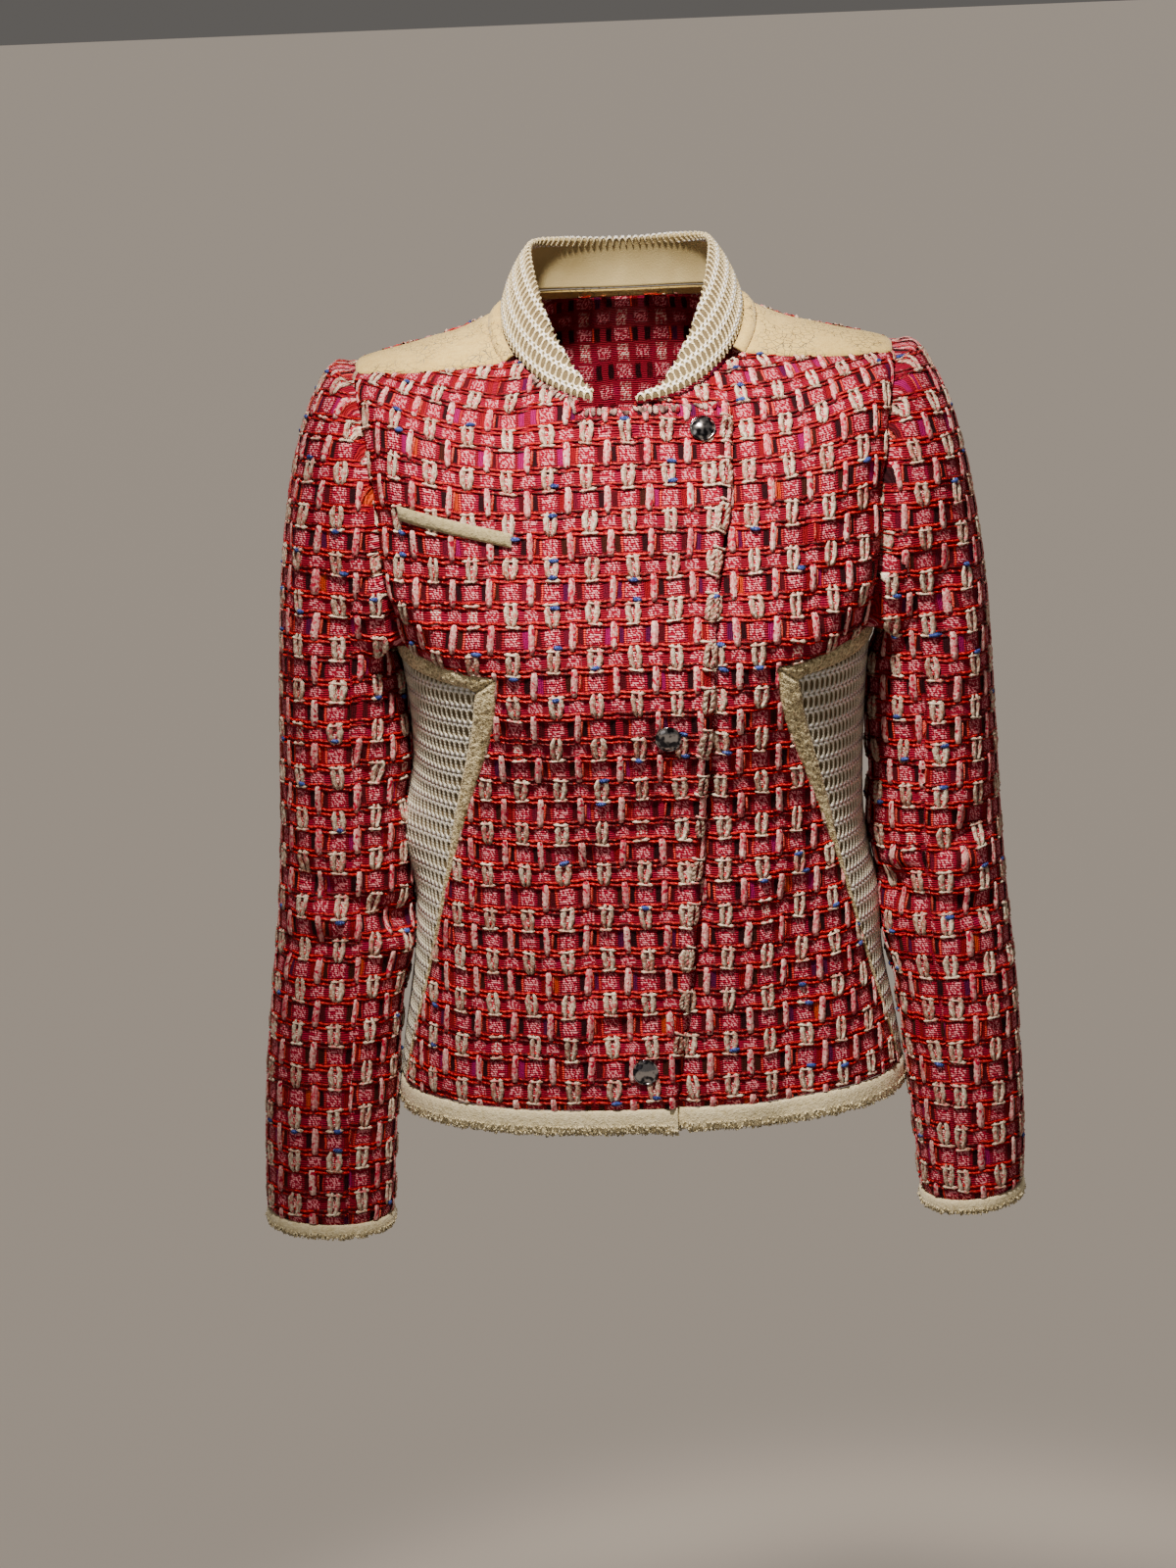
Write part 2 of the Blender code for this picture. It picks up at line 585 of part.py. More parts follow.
def down_the_front(line, v_top):
    """Places down a line x(z) of the front, to the mesh corner and from there to the hem."""
    turn = np.linspace(-0.4, 1.3, 200)
    ring = body_plain(turn, np.full(len(turn), v_top))
    z_top = -0.05
    for _ in range(20):
        theta_top = float(np.interp(line(z_top), ring[:, 0], turn))
        z_top = float(np.interp(theta_top, turn, ring[:, 2]))
    upper = [place(line(z), z) for z in np.linspace(z_top, CORNER[1], UPPER_ROWS + 1)[1:]]
    lower = [place(line(z), z) for z in np.linspace(CORNER[1], HEM_SEAM_Z, LOWER_ROWS + 1)]
    lower[-1] = (lower[-1][0], HEM_SEAM_V)
    return np.array([(theta_top, v_top)] + upper), np.array(lower)


UNDERLAP_LINES = (
    lambda z: closing_x(z) - UNDERLAP_WIDTH,
    lambda z: closing_x(z) - 0.66 * UNDERLAP_WIDTH,
    lambda z: closing_x(z) - 0.33 * UNDERLAP_WIDTH,
    lambda z: underlap_x(z, 1.0),
    lambda z: underlap_x(z, 0.0),
)


def add_front_left():
    """Under front: set back behind the flap, and level with the body beside it."""
    columns = [down_the_front(line, STRIP_FREE_V) for line in UNDERLAP_LINES]
    columns[-1][0][0] = (YOKE_INNER, STRIP_V)
    lapped = [np.stack([column[part] for column in columns], axis=1) for part in (0, 1)]
    far_upper, far_lower = columns[-1]
    grids = lapped + front_grids(far_upper, far_lower, YOKE_FRONT, 1)
    places, _ = weld(grids)
    hidden = {(round(spot[0], 6), round(spot[1], 6))
              for grid in lapped for spot in grid[:, :-1].reshape(-1, 2)}

    def set_back(theta, v):
        return np.array([-UNDERLAP if (round(t, 6), round(w, 6)) in hidden else 0.0 for t, w in zip(theta, v)])

    return add_panel("front_left", grids, "tweed", TWEED, set_back)


def add_back():
    full_turn = np.array((2 * math.pi, 0))
    seam = evenly([(SIDE_SEAM, UNDERARM_V), (SIDE_SEAM, HEM_SEAM_V)], LOWER_ROWS)
    left = chain(ARM_BACK, seam)
    right = full_turn + mirrored(left)
    top = chain(YOKE_REAR[::-1], BACK_NECK, full_turn + mirrored(YOKE_REAR))
    hem = evenly([tuple(left[-1]), tuple(right[-1])], len(top) - 1)
    return add_panel("back", [patch(top, hem, left, right)], "tweed", TWEED)


def add_yoke(side, sign):
    outer = evenly([tuple(ARM_TOP[0]), tuple(ARM_TOP[-1])], NECK_COLUMNS)
    grid = patch(YOKE_NECK, outer, YOKE_FRONT, YOKE_REAR)
    if sign < 0:
        grid = (grid * np.array([-1, 1]))[:, ::-1]
    return add_panel("yoke_" + side, [grid], "suede", YOKE, trim=SEAM)


def band_lower_v(theta, corner):
    return band_top_v(theta, corner) + BAND_WIDTH * (1 - BAND_TAPER * ease((BAND_END - theta) / BAND_TURN))


def add_side(side, sign):
    """Mesh panel and the suede band round it: a top bar, and a leg that narrows to a piping."""
    mitre = place(*MITRE)

    def put(grid):
        return (grid * np.array([-1, 1]))[:, ::-1] if sign < 0 else grid

    top = chain(BAND_TOP, ARM_LOW)
    bar_low = [(t, band_lower_v(t, CORNER_PLACE)) for t in np.linspace(mitre[0], SIDE_SEAM, 24)]
    bar_low[0] = mitre
    low = evenly(bar_low, len(top) - 1)
    left = evenly([tuple(top[0]), tuple(low[0])], 2)
    right = evenly([tuple(top[-1]), tuple(low[-1])], 2)
    add_panel("side_band_top_" + side, [put(patch(top, low, left, right))], "suede", SUEDE)

    outer_edge = [mitre]
    for z in np.linspace(MITRE[1] - LEG_START, LEG[-1][0], 28):
        width = float(read(LEG[::-1], LEG_COLUMNS, "width", z))
        edge = leg_edge(z)
        girth = np.linalg.norm(body_plain(edge[0] + 0.01, edge[1]) - body_plain(*edge)) / 0.01
        outer_edge.append((edge[0] + width / girth, edge[1]))
    outer_edge[-1] = (outer_edge[-1][0], HEM_SEAM_V)
    inside = evenly(outer_edge, LOWER_ROWS)
    cap = evenly([tuple(LEG_EDGE[0]), tuple(inside[0])], 1)
    foot = evenly([tuple(LEG_EDGE[-1]), tuple(inside[-1])], 1)
    add_panel("side_band_front_" + side, [put(patch(cap, foot, LEG_EDGE, inside))], "suede", SUEDE)

    hem = evenly([tuple(inside[-1]), (SIDE_SEAM, HEM_SEAM_V)], len(low) - 1)
    seam = evenly([tuple(low[-1]), (SIDE_SEAM, HEM_SEAM_V)], LOWER_ROWS)
    add_panel("side_mesh_" + side, [put(patch(low, hem, inside, seam))], "net", NET)


# ---------------------------------------------------------------- hem, welt and snaps
def bound_profile(top, low, normal, thick):
    """Rounded section of a binding between its seam and its fold: eight points round the wall."""
    middle = INSIDE + TWEED / 2
    half = thick / 2
    down = low - top
    outside = [top + down * share + normal * (middle + half * reach) for share, reach in BOUND_SECTION]
    inside = [top + down * share + normal * (middle - half * reach) for share, reach in BOUND_SECTION[::-1]]
    return outside + inside


def add_hem(name, theta, set_back=0.0):
    """Binding over the hem through the angles theta, set back by a distance for each."""
    tops = body(theta, np.full(len(theta), HEM_SEAM_V + SEAM))
    lows = body(theta, np.full(len(theta), HEM_END_V))
    normals = slope_normal(body_plain, theta, np.full(len(theta), HEM_SEAM_V))
    shift = np.broadcast_to(set_back, theta.shape)[:, None]
    tops = tops - normals * shift
    lows = lows - normals * shift
    rings = np.array([bound_profile(*row, HEM_THICK) for row in zip(tops, lows, normals)])
    return add_tube(name, rings, "suede", closed=False)


def add_hems():
    part = SEAM / 2 / HEM_GIRTH
    closing, inner, near, far = (place(x, HEM_SEAM_Z)[0] for x in (
        closing_x(HEM_SEAM_Z), UNDERLAP_LINES[0](HEM_SEAM_Z),
        underlap_x(HEM_SEAM_Z, 1.0), underlap_x(HEM_SEAM_Z, 0.0)))
    around = 2 * math.pi
    add_hem("hem_front_right", np.linspace(-LEG_EDGE_END + part, closing, 13))
    lapped = np.linspace(inner, near, 4)
    beside = np.linspace(far, LEG_EDGE_END - part, 10)
    depth = np.where(np.arange(14) < 4, HEM_UNDERLAP, 0.0)
    add_hem("hem_front_left", np.concatenate([lapped, beside]), depth)
    add_hem("hem_back", np.linspace(LEG_EDGE_END + part, around - LEG_EDGE_END - part, 23))


def add_welt():
    """Suede lip of the chest pocket, lying on the front."""
    (x1, z1), (x2, z2) = WELT
    slope = (z2 - z1) / (x2 - x1)
    columns, rows = 7, 2
    grid = np.zeros((rows + 1, columns + 1, 2))
    for r in range(rows + 1):
        for c in range(columns + 1):
            x = x1 + (x2 - x1) * c / columns
            grid[r, c] = place(x, z1 + (x - x1) * slope - WELT_WIDTH * r / rows)
    return add_panel("welt", [grid], "suede", WELT_THICK, lift=TWEED + LAID_CLEAR)


def add_snap(name, x, z):
    """Domed metal cap, turned round the cloth's own normal."""
    theta, v = place(x, z)
    centre = body(np.array([theta]), np.array([v]))[0]
    normal = slope_normal(body, np.array([theta]), np.array([v]))[0]
    base = centre + normal * (INSIDE + TWEED + LAID_CLEAR)
    side = unit(np.cross(normal, np.array([0.0, 0.0, 1.0])))
    up = np.cross(side, normal)
    turns = SNAP_SIDES
    verts = []
    for share, rise in SNAP_SECTION:
        for i in range(turns):
            angle = 2 * math.pi * i / turns
            verts.append(base + SNAP_RADIUS * share * (side * math.cos(angle) + up * math.sin(angle))
                         + normal * SNAP_RISE * rise)
    verts.append(base + normal * SNAP_RISE)
    faces = [tuple(range(turns))]
    for r in range(len(SNAP_SECTION) - 1):
        for i in range(turns):
            j = (i + 1) % turns
            faces.append((r * turns + i, r * turns + j, (r + 1) * turns + j, (r + 1) * turns + i))
    last = (len(SNAP_SECTION) - 1) * turns
    faces += [(last + i, last + (i + 1) % turns, len(verts) - 1) for i in range(turns)]
    made = add_object("snap_" + name, verts, faces, "metal")
    shape = bmesh.new()
    shape.from_mesh(made.data)
    bmesh.ops.recalc_face_normals(shape, faces=shape.faces)
    shape.to_mesh(made.data)
    shape.free()
    return made


# ---------------------------------------------------------------- collar
def collar_surface(theta, h):
    """theta round the neck, h from 0 at the seam to 1 at the folded top edge."""
    foot = body_plain(theta, np.full(np.shape(theta), 0.0))
    turn = np.degrees(np.abs(((theta + math.pi) % (2 * math.pi)) - math.pi))
    rise = read(COLLAR, COLLAR_COLUMNS, "rise", turn)
    lean = read(COLLAR, COLLAR_COLUMNS, "lean", turn)
    outward = np.stack([np.sin(theta), -np.cos(theta), np.zeros(np.shape(theta))], axis=-1)
    top = foot - outward * lean[..., None] + np.array([0, 0, 1.0]) * rise[..., None]
    across = top - foot
    bow = unit(outward * rise[..., None] + np.array([0, 0, 1.0]) * lean[..., None])
    size = COLLAR_CROWN * np.minimum(rise / 0.03, 1.0) * 4 * h * (1 - h)
    return foot + across * h[..., None] + bow * size[..., None]


def add_collar():
    start, end = math.radians(COLLAR_END_LEFT), math.radians(360 + COLLAR_END_RIGHT)
    theta = np.linspace(start, end, COLLAR_COLUMNS_ROUND + 1)
    h = np.linspace(1, 0, COLLAR_ROWS + 1)
    across, down = np.meshgrid(theta, h)
    across, down = across.ravel(), down.ravel()
    points = collar_surface(across, down)
    by_theta = collar_surface(across + 0.01, down) - collar_surface(across - 0.01, down)
    by_h = collar_surface(across, down - 0.02) - collar_surface(across, down + 0.02)
    normals = unit(np.cross(by_h, by_theta))
    points[:, 2] += COLLAR_LIFT
    faces = grid_faces(COLLAR_ROWS + 1, COLLAR_COLUMNS_ROUND + 1)
    half = COLLAR_THICK / 2 * (1 - 0.25 * down ** 4)
    return add_wall("collar", points, normals, faces, -half, half, "net")


def add_neck_strip():
    """Narrow suede strip between the collar and the yokes and back."""
    far_side = np.array((2 * math.pi, 0)) + mirrored(YOKE_NECK)[::-1]
    low = chain(YOKE_NECK, BACK_NECK, far_side)
    grid = np.stack([np.column_stack([low[:, 0], np.full(len(low), v)])
                     for v in np.linspace(STRIP_FREE_V, STRIP_V, 3)])
    return add_panel("neck_strip", [grid], "suede", SUEDE)


# ---------------------------------------------------------------- sleeves
def armhole_ring():
    """Places round the wearer's left armhole: over the top, down the front, under, up the back."""
    ring = chain(ARM_TOP[::-1], ARM_FRONT, ARM_LOW, ARM_BACK[::-1])
    return ring[:-1]


def sleeve_frame(s, sign):
    """Middle of the sleeve at s, and the half widths towards its outer line and its front."""
    outer_x, outer_z, inner_x, inner_z, y_front, y_back, trim = (
        float(read(SLEEVE, SLEEVE_COLUMNS, name, s)) for name in SLEEVE_COLUMNS[1:])
    if sign > 0:
        outer_x -= trim
    outer = np.array([outer_x, 0.0, outer_z])
    inner = np.array([inner_x, 0.0, inner_z])
    middle = (outer + inner) / 2
    middle[1] = (y_front + y_back) / 2
    return middle, (outer - inner) / 2, np.array([0.0, (y_front - y_back) / 2, 0.0])


def sleeve_oval(turn, s, sign):
    middle, to_outer, to_front = sleeve_frame(s, sign)
    c, d = np.cos(turn), np.sin(turn)
    size = (np.abs(c) ** SLEEVE_SQUARE + np.abs(d) ** SLEEVE_SQUARE) ** (-1 / SLEEVE_SQUARE)
    return middle + (size * c)[:, None] * to_outer + (size * d)[:, None] * to_front


SLEEVE_RING = armhole_ring()
ARM_POINTS = body_plain(SLEEVE_RING[:, 0], SLEEVE_RING[:, 1])


def sleeve_turns():
    """Angle round the sleeve of each place on the armhole: 0 outer line, 90 degrees front."""
    middle, to_outer, to_front = sleeve_frame(0.0, -1)
    off = ARM_POINTS - middle
    up = off @ unit(to_outer) / np.linalg.norm(to_outer)
    ahead = off @ unit(to_front) / np.linalg.norm(to_front)
    return np.arctan2(ahead, up) % (2 * math.pi)


TURNS = sleeve_turns()


def sleeve_plain(s, sign):
    """Ring of points round a sleeve at s, on the wearer's left side."""
    keep = 1 - ease(s / ARMHOLE_FADE)
    return sleeve_oval(TURNS, s, sign) + keep * (ARM_POINTS - sleeve_oval(TURNS, 0.0, sign))


def sleeve_grid(side, stops):
    """Rings of points and normals of one sleeve, mirrored for the wearer's right."""
    rings = np.array([sleeve_plain(s, side) for s in stops])
    around = np.roll(rings, -1, axis=1) - np.roll(rings, 1, axis=1)
    along = np.gradient(rings, axis=0)
    normals = unit(np.cross(around, along))
    centre = rings.mean(axis=1, keepdims=True)
    flip = np.sign(((rings - centre) * normals).sum(axis=-1, keepdims=True).mean())
    normals = normals * flip
    seam = slope_normal(body_plain, SLEEVE_RING[:, 0], SLEEVE_RING[:, 1])
    for row, s in enumerate(stops):
        share = 1 - ease(s / SEAM_TURN)
        normals[row] = unit(normals[row] * (1 - share) + seam * share)
    girth, length = np.meshgrid(TURNS * SLEEVE_RADIUS, stops * SLEEVE_LENGTH)
    total = np.zeros(rings.shape[:2])
    for crease_side, turn1, s1, turn2, s2, width, rise in CREASES:
        if crease_side == side:
            total += rise * line_share(girth, length, math.radians(turn1) * SLEEVE_RADIUS, s1 * SLEEVE_LENGTH,
                                       math.radians(turn2) * SLEEVE_RADIUS, s2 * SLEEVE_LENGTH, width)
    rings = rings + normals * total[..., None]
    if side < 0:
        rings = rings * np.array([-1, 1, 1])
        normals = normals * np.array([-1, 1, 1])
    return rings, normals


def add_sleeve(side, sign):
    rings, normals = sleeve_grid(sign, np.array(SLEEVE_STOPS))
    count = rings.shape[1]
    under = list(range(FRONT_SPLIT, BACK_SPLIT + 1))
    upper = list(range(BACK_SPLIT, count)) + list(range(0, FRONT_SPLIT + 1))
    for part, columns in (("upper", upper), ("under", under)):
        order = columns if sign > 0 else columns[::-1]
        points = rings[:, order].reshape(-1, 3)
        facing = normals[:, order].reshape(-1, 3)
        faces = grid_faces(len(SLEEVE_STOPS), len(order))
        faces = [tuple(reversed(face)) for face in faces]
        add_wall(f"sleeve_{part}_{side}", points, facing, faces, INSIDE, INSIDE + TWEED, "tweed")


def add_cuff(side, sign):
    stops = np.array([1.0 + SEAM / SLEEVE_LENGTH, 1.0 + CUFF_HEIGHT / SLEEVE_LENGTH])
    rings, normals = sleeve_grid(sign, stops)
    sections = np.array([bound_profile(top, low, normal, CUFF_THICK)
                         for top, low, normal in zip(rings[0], rings[1], normals[0])])
    return add_tube("cuff_" + side, sections, "suede", closed=True)


def build():
    clear_scene()
    add_front_right()
    add_front_left()
    add_back()
    for side, sign in (("right", -1), ("left", 1)):
        add_yoke(side, sign)
        add_side(side, sign)
        add_sleeve(side, sign)
        add_cuff(side, sign)
    add_hems()
    add_collar()
    add_neck_strip()
    add_welt()
    for name, x, z in SNAPS:
        add_snap(name, x, z)


build()
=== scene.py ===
# %% [markdown]
# # Dressing a cropped tweed jacket
#
# The frame holds the jacket's plain cloth walls. This lesson dresses them: boucle tweed with its raised
# yarns, openwork mesh, napped suede and three domed snaps. Each cloth is first a thin shell on the form
# that its wall has, and every raised yarn is then laid on that shell through a flat chart of the cloth,
# as a weaver would draw it.

# %% The frame and its box
import json
from math import asin, ceil, cos, floor, hypot, pi, radians, sin, sqrt

import bmesh
import bpy
import numpy as np
from mathutils import Matrix, Vector, noise
from numpy.linalg import norm

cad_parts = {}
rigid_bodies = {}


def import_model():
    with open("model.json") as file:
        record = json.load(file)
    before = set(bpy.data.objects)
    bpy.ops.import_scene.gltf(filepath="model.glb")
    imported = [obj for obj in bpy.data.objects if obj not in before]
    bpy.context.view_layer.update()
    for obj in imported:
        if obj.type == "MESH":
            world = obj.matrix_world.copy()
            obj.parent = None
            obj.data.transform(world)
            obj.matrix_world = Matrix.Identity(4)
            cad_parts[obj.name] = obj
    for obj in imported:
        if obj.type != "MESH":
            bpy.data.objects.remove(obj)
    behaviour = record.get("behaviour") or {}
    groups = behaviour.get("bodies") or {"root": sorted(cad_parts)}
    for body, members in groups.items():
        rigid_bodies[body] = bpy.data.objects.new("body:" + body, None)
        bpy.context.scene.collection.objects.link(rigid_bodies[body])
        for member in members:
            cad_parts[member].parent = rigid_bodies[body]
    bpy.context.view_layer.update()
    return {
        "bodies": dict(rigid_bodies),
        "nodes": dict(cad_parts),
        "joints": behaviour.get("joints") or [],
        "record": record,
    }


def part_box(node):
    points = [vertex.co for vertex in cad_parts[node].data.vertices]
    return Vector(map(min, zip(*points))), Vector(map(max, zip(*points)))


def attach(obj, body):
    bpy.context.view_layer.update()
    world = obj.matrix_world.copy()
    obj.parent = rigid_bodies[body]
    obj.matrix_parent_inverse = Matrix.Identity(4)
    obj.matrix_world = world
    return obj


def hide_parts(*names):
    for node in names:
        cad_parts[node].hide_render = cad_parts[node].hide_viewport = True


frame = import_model()

# %% [markdown]
# ## Floor, light and camera
#
# A spot lamp above and in front of the chest rakes down across the yarns, so that each casts a small
# shadow. A large soft lamp lifts the shadows, and a broad light from behind and above draws the edges of
# the shoulders. The camera stands a little above the collar and looks down along the front.

# %% Things in the scene
FLOOR_Z, FLOOR_SIZE = -1.35, 40.0


def put(name, data):
    """A new object with this mesh, lamp or camera, in the scene."""
    thing = bpy.data.objects.new(name, data)
    bpy.context.scene.collection.objects.link(thing)
    return thing


def add_floor():
    mesh = bpy.data.meshes.new("floor")
    corners = [(x * FLOOR_SIZE, y * FLOOR_SIZE, FLOOR_Z) for x, y in ((-1, -1), (1, -1), (1, 1), (-1, 1))]
    mesh.from_pydata(corners, [], [(0, 1, 2, 3)])
    material = bpy.data.materials.new("floor_paint")
    material.use_nodes = True
    shader = material.node_tree.nodes["Principled BSDF"]
    shader.inputs["Base Color"].default_value = (0.78, 0.7, 0.62, 1.0)
    shader.inputs["Roughness"].default_value = 0.9
    mesh.materials.append(material)
    put("floor", mesh)


add_floor()
print("floor at", FLOOR_Z)

# %% Lamps
def add_lamp(name, kind, power, colour, **sizes):
    lamp = bpy.data.lights.new(name, kind)
    lamp.energy, lamp.color = power, colour
    for size, value in sizes.items():
        setattr(lamp, size, value)
    return put(name, lamp)


def aim(lamp, place, target):
    lamp.location = place
    lamp.rotation_euler = (Vector(target) - Vector(place)).to_track_quat("-Z", "Y").to_euler()


aim(add_lamp("spot_lamp", "SPOT", 196.0, (1.0, 0.9, 0.78), shadow_soft_size=0.07, spot_size=radians(31),
             spot_blend=1.0), (-0.12, -0.64, 0.92), (0.0, -0.08, -0.13))
aim(add_lamp("fill_lamp", "AREA", 2.6, (1.0, 0.97, 0.93), shape="DISK", size=1.4), (-1.4, -2.2, 0.5),
    (0.0, -0.05, -0.25))
behind = add_lamp("window_light", "SUN", 1.32, (1.0, 0.94, 0.87), angle=0.6)
behind.rotation_euler = (radians(-42), radians(8), 0.0)
world = bpy.data.worlds.new("soft_room")
world.use_nodes = True
air = world.node_tree.nodes["Background"].inputs
air["Color"].default_value, air["Strength"].default_value = (0.92, 0.86, 0.8, 1.0), 0.13
bpy.context.scene.world = world
print("a spot, a soft fill, a light from behind and a dim room")

# %% Camera
IMAGE_WIDTH, IMAGE_HEIGHT = 1200, 1600
FOCAL_PIXELS = 4270
SENSOR = 36.0
PITCH, ROLL, CAMERA_PLACE = radians(11.7), radians(2.3), (0.0, -2.8, 0.3)
AXIS_PIXEL = (651.4, 735.0)      # where the lens's own axis meets the image
camera_data = bpy.data.cameras.new("camera")
camera_data.sensor_width = SENSOR
camera_data.lens = FOCAL_PIXELS / IMAGE_HEIGHT * SENSOR
camera_data.shift_x = -(AXIS_PIXEL[0] - IMAGE_WIDTH / 2) / IMAGE_HEIGHT
camera_data.shift_y = (AXIS_PIXEL[1] - IMAGE_HEIGHT / 2) / IMAGE_HEIGHT
camera = put("camera", camera_data)
turn = Matrix.Rotation(pi / 2 - PITCH, 4, "X") @ Matrix.Rotation(-ROLL, 4, "Z")
camera.matrix_world = Matrix.Translation(CAMERA_PLACE) @ turn
bpy.context.scene.camera = camera
print("lens", round(camera_data.lens, 2), "mm")

# %% [markdown]
# ## The jacket's own measurements
#
# A pattern cutter keeps a table of girths and lengths. These tables hold the same sizes as the frame's
# walls, ring by ring, so that a shell made from them lies on its wall. theta is the angle round the body
# from the centre front, v grows from the neck seam to the hem, and s runs down a sleeve. Curves through the
# rows must not swing past them, or a shoulder would bulge, and a monotone cubic keeps to the rows.

# %% A table of sizes
def smooth(knots, values, at):
    at = np.clip(np.asarray(at, dtype=float), knots[0], knots[-1])
    step = np.diff(knots)
    slope = np.diff(values) / step
    tangent = np.zeros(len(knots))
    tangent[0], tangent[-1] = slope[0], slope[-1]
    for i in range(1, len(knots) - 1):
        if slope[i - 1] * slope[i] > 0:
            before, after = 2 * step[i] + step[i - 1], step[i] + 2 * step[i - 1]
            tangent[i] = (before + after) / (before / slope[i - 1] + after / slope[i])
    i = np.clip(np.searchsorted(knots, at, side="right") - 1, 0, len(knots) - 2)
    t = (at - knots[i]) / step[i]
    return (values[i] * (1 + 2 * t) * (1 - t) ** 2 + tangent[i] * step[i] * t * (1 - t) ** 2
            + values[i + 1] * t * t * (3 - 2 * t) - tangent[i + 1] * step[i] * t * t * (1 - t))


class Table:
    """Named columns of sizes: written in millimetres and kept in metres, apart from the plain columns."""

    def __init__(self, names, *rows, plain=()):
        self.rows = [tuple(value if name in plain else round(value / 1000, 9)
                           for name, value in zip(names, row)) for row in rows]
        self.columns = {name: np.array(column) for name, column in zip(names, zip(*self.rows))}

    def __call__(self, name, at):
        """A smooth curve through a column, read at places of the first column."""
        first = next(iter(self.columns.values()))
        order = np.argsort(first)
        return smooth(first[order], self.columns[name][order], at)


print("at 5 between rows 0 and 10 mm:", Table(("a", "b"), (0, 0), (10, 10))("b", 0.005))

# %% Tables of the body, the sleeves and the collar
INSIDE = -0.001                 # inner face of the walls, from the body surface
TWEED, NET, SUEDE, YOKE = 0.002, 0.0014, 0.0026, 0.0016
HEM_HEIGHT, CUFF_HEIGHT = 0.0165, 0.0125
UNDERLAP, HEM_UNDERLAP, UNDERLAP_WIDTH = 0.0042, 0.0054, 0.062
UNDERLAP_NEAR, UNDERLAP_FAR = 0.0025, 0.011
STRIP_FREE_V, STRIP_V, SHOULDER_V, UNDERARM_V, HEM_SEAM_V = 0.0006, 0.006, 0.044, 0.19, 0.5
HEM_SEAM_Z, WIDEST = -0.5215, 0.19
SIDE_SEAM, BAND_END = radians(112), radians(71)
BODY = Table(("v", "half_width", "front", "back", "square", "z_front", "z_side", "z_back", "tilt"),
    (0, 80, 78, 60, 2.2, -51, 1, 10, 0.5),
    (14, 104, 85, 70, 2.3, -68, -10, -4, 0.22),
    (28, 142, 92, 82, 2.5, -87, -18, -22, 0.06),
    (44, 180, 98, 90, 2.8, -106, -28, -40, 0),
    (72, 181, 105, 97, 3, -132, -66, -72, 0),
    (108, 180, 110, 102, 3, -162, -110, -112, 0),
    (140, 175, 115, 104, 2.9, -190, -152, -150, 0),
    (172, 167, 118, 102, 2.7, -214, -188, -182, 0),
    (204, 158, 118, 98, 2.5, -240, -222, -216, 0),
    (250, 153, 114, 90, 2.4, -284, -270, -264, 0),
    (320, 150, 108, 83, 2.4, -348, -338, -334, 0),
    (410, 158, 108, 92, 2.4, -434, -428, -426, 0),
    (500, 172, 112, 106, 2.4, -522, -519, -520, 0),
    (540, 175, 113, 108, 2.4, -560, -559, -560, 0), plain=("square", "tilt"))
# Folds of the cloth, the large ones first. a is x on the front and back and y on the sides.
FOLDS = Table(("face", "a1", "z1", "a2", "z2", "width", "rise"),
    ("front", -80, -215, -52, -245, 48, 7), ("front", 80, -215, 56, -245, 48, 7),
    ("front", -82, -45, -70, -145, 13, -2.8), ("front", -158, -125, -120, -190, 12, -3),
    ("front", -150, -170, -112, -212, 12, 2.8), ("front", 160, -120, 118, -185, 13, -3),
    ("front", 150, -170, 112, -212, 12, 2.8), ("front", -40, -360, -22, -465, 16, -5.5),
    ("front", -66, -330, -52, -500, 15, 3.5), ("front", -12, -445, -52, -468, 11, 3.5),
    ("front", 96, -385, 100, -510, 12, -3.5), ("front", 70, -360, 70, -520, 14, 3),
    ("right", -10, -345, 30, -330, 34, 13), ("left", -10, -400, 30, -380, 30, 4),
    ("back", -70, -240, -30, -330, 18, -3), ("back", 75, -230, 30, -340, 18, -3),
    ("back", -60, -390, -72, -510, 18, 4), ("back", 50, -380, 66, -510, 18, 4),
    ("back", 0, -330, 0, -480, 20, -4), ("front", -100, -60, -92, -120, 6, 0.9),
    ("front", -140, -100, -104, -150, 6, 1), ("front", 128, -85, 108, -150, 7, -1.1),
    ("front", 145, -150, 98, -176, 6, 1), ("front", -20, -300, -30, -400, 8, 1.2),
    ("front", -85, -380, -80, -480, 8, -1.2), ("front", 20, -420, 4, -505, 7, -1),
    ("front", 124, -410, 130, -500, 6, 1), ("back", -120, -110, -86, -190, 10, -1.8),
    ("back", 122, -120, 90, -180, 9, -1.6), ("back", -20, -300, -46, -360, 9, 1.4), plain=("face",))
FACES = {"front": (0, -1, 0), "back": (0, 1, 0), "right": (-1, 0, 0), "left": (1, 0, 0)}
ARMHOLE = Table(("v", "ahead", "behind"),
    (44, 7, 8), (56, 14, 16), (80, 19, 22), (115, 21, 25), (150, 21, 25), (190, 19, 22),
    plain=("ahead", "behind"))
CORNER, MITRE = (0.089, -0.224), (0.1045, -0.2355)
BAND_WIDTH, BAND_TAPER, BAND_TURN, LEG_START = 0.0145, 0.25, 0.9, 0.012
LEG = Table(("z", "x", "width"),
    (-224, 89, 16), (-256, 93.5, 16), (-296, 107, 13), (-328, 118, 10), (-360, 128, 5), (-400, 138.5, 3.5),
    (-440, 148.5, 3.2), (-480, 159.5, 3), (-518, 168.5, 3))
CLOSING = Table(("z", "x"),
    (-60, 69), (-110, 66), (-160, 57), (-250, 48), (-320, 42), (-380, 36), (-440, 28), (-500, 18), (-540, 14))
FLAP_TOP_Z, FLAP_RADIUS, FLAP_START_X = -0.0545, 0.009, -0.03
YOKE_INNER, YOKE_BACK = radians(62), radians(118)
WELT, WELT_WIDTH, WELT_THICK, LAID_CLEAR = ((-0.152, -0.113), (-0.078, -0.131)), 0.0095, 0.0022, 0.0008
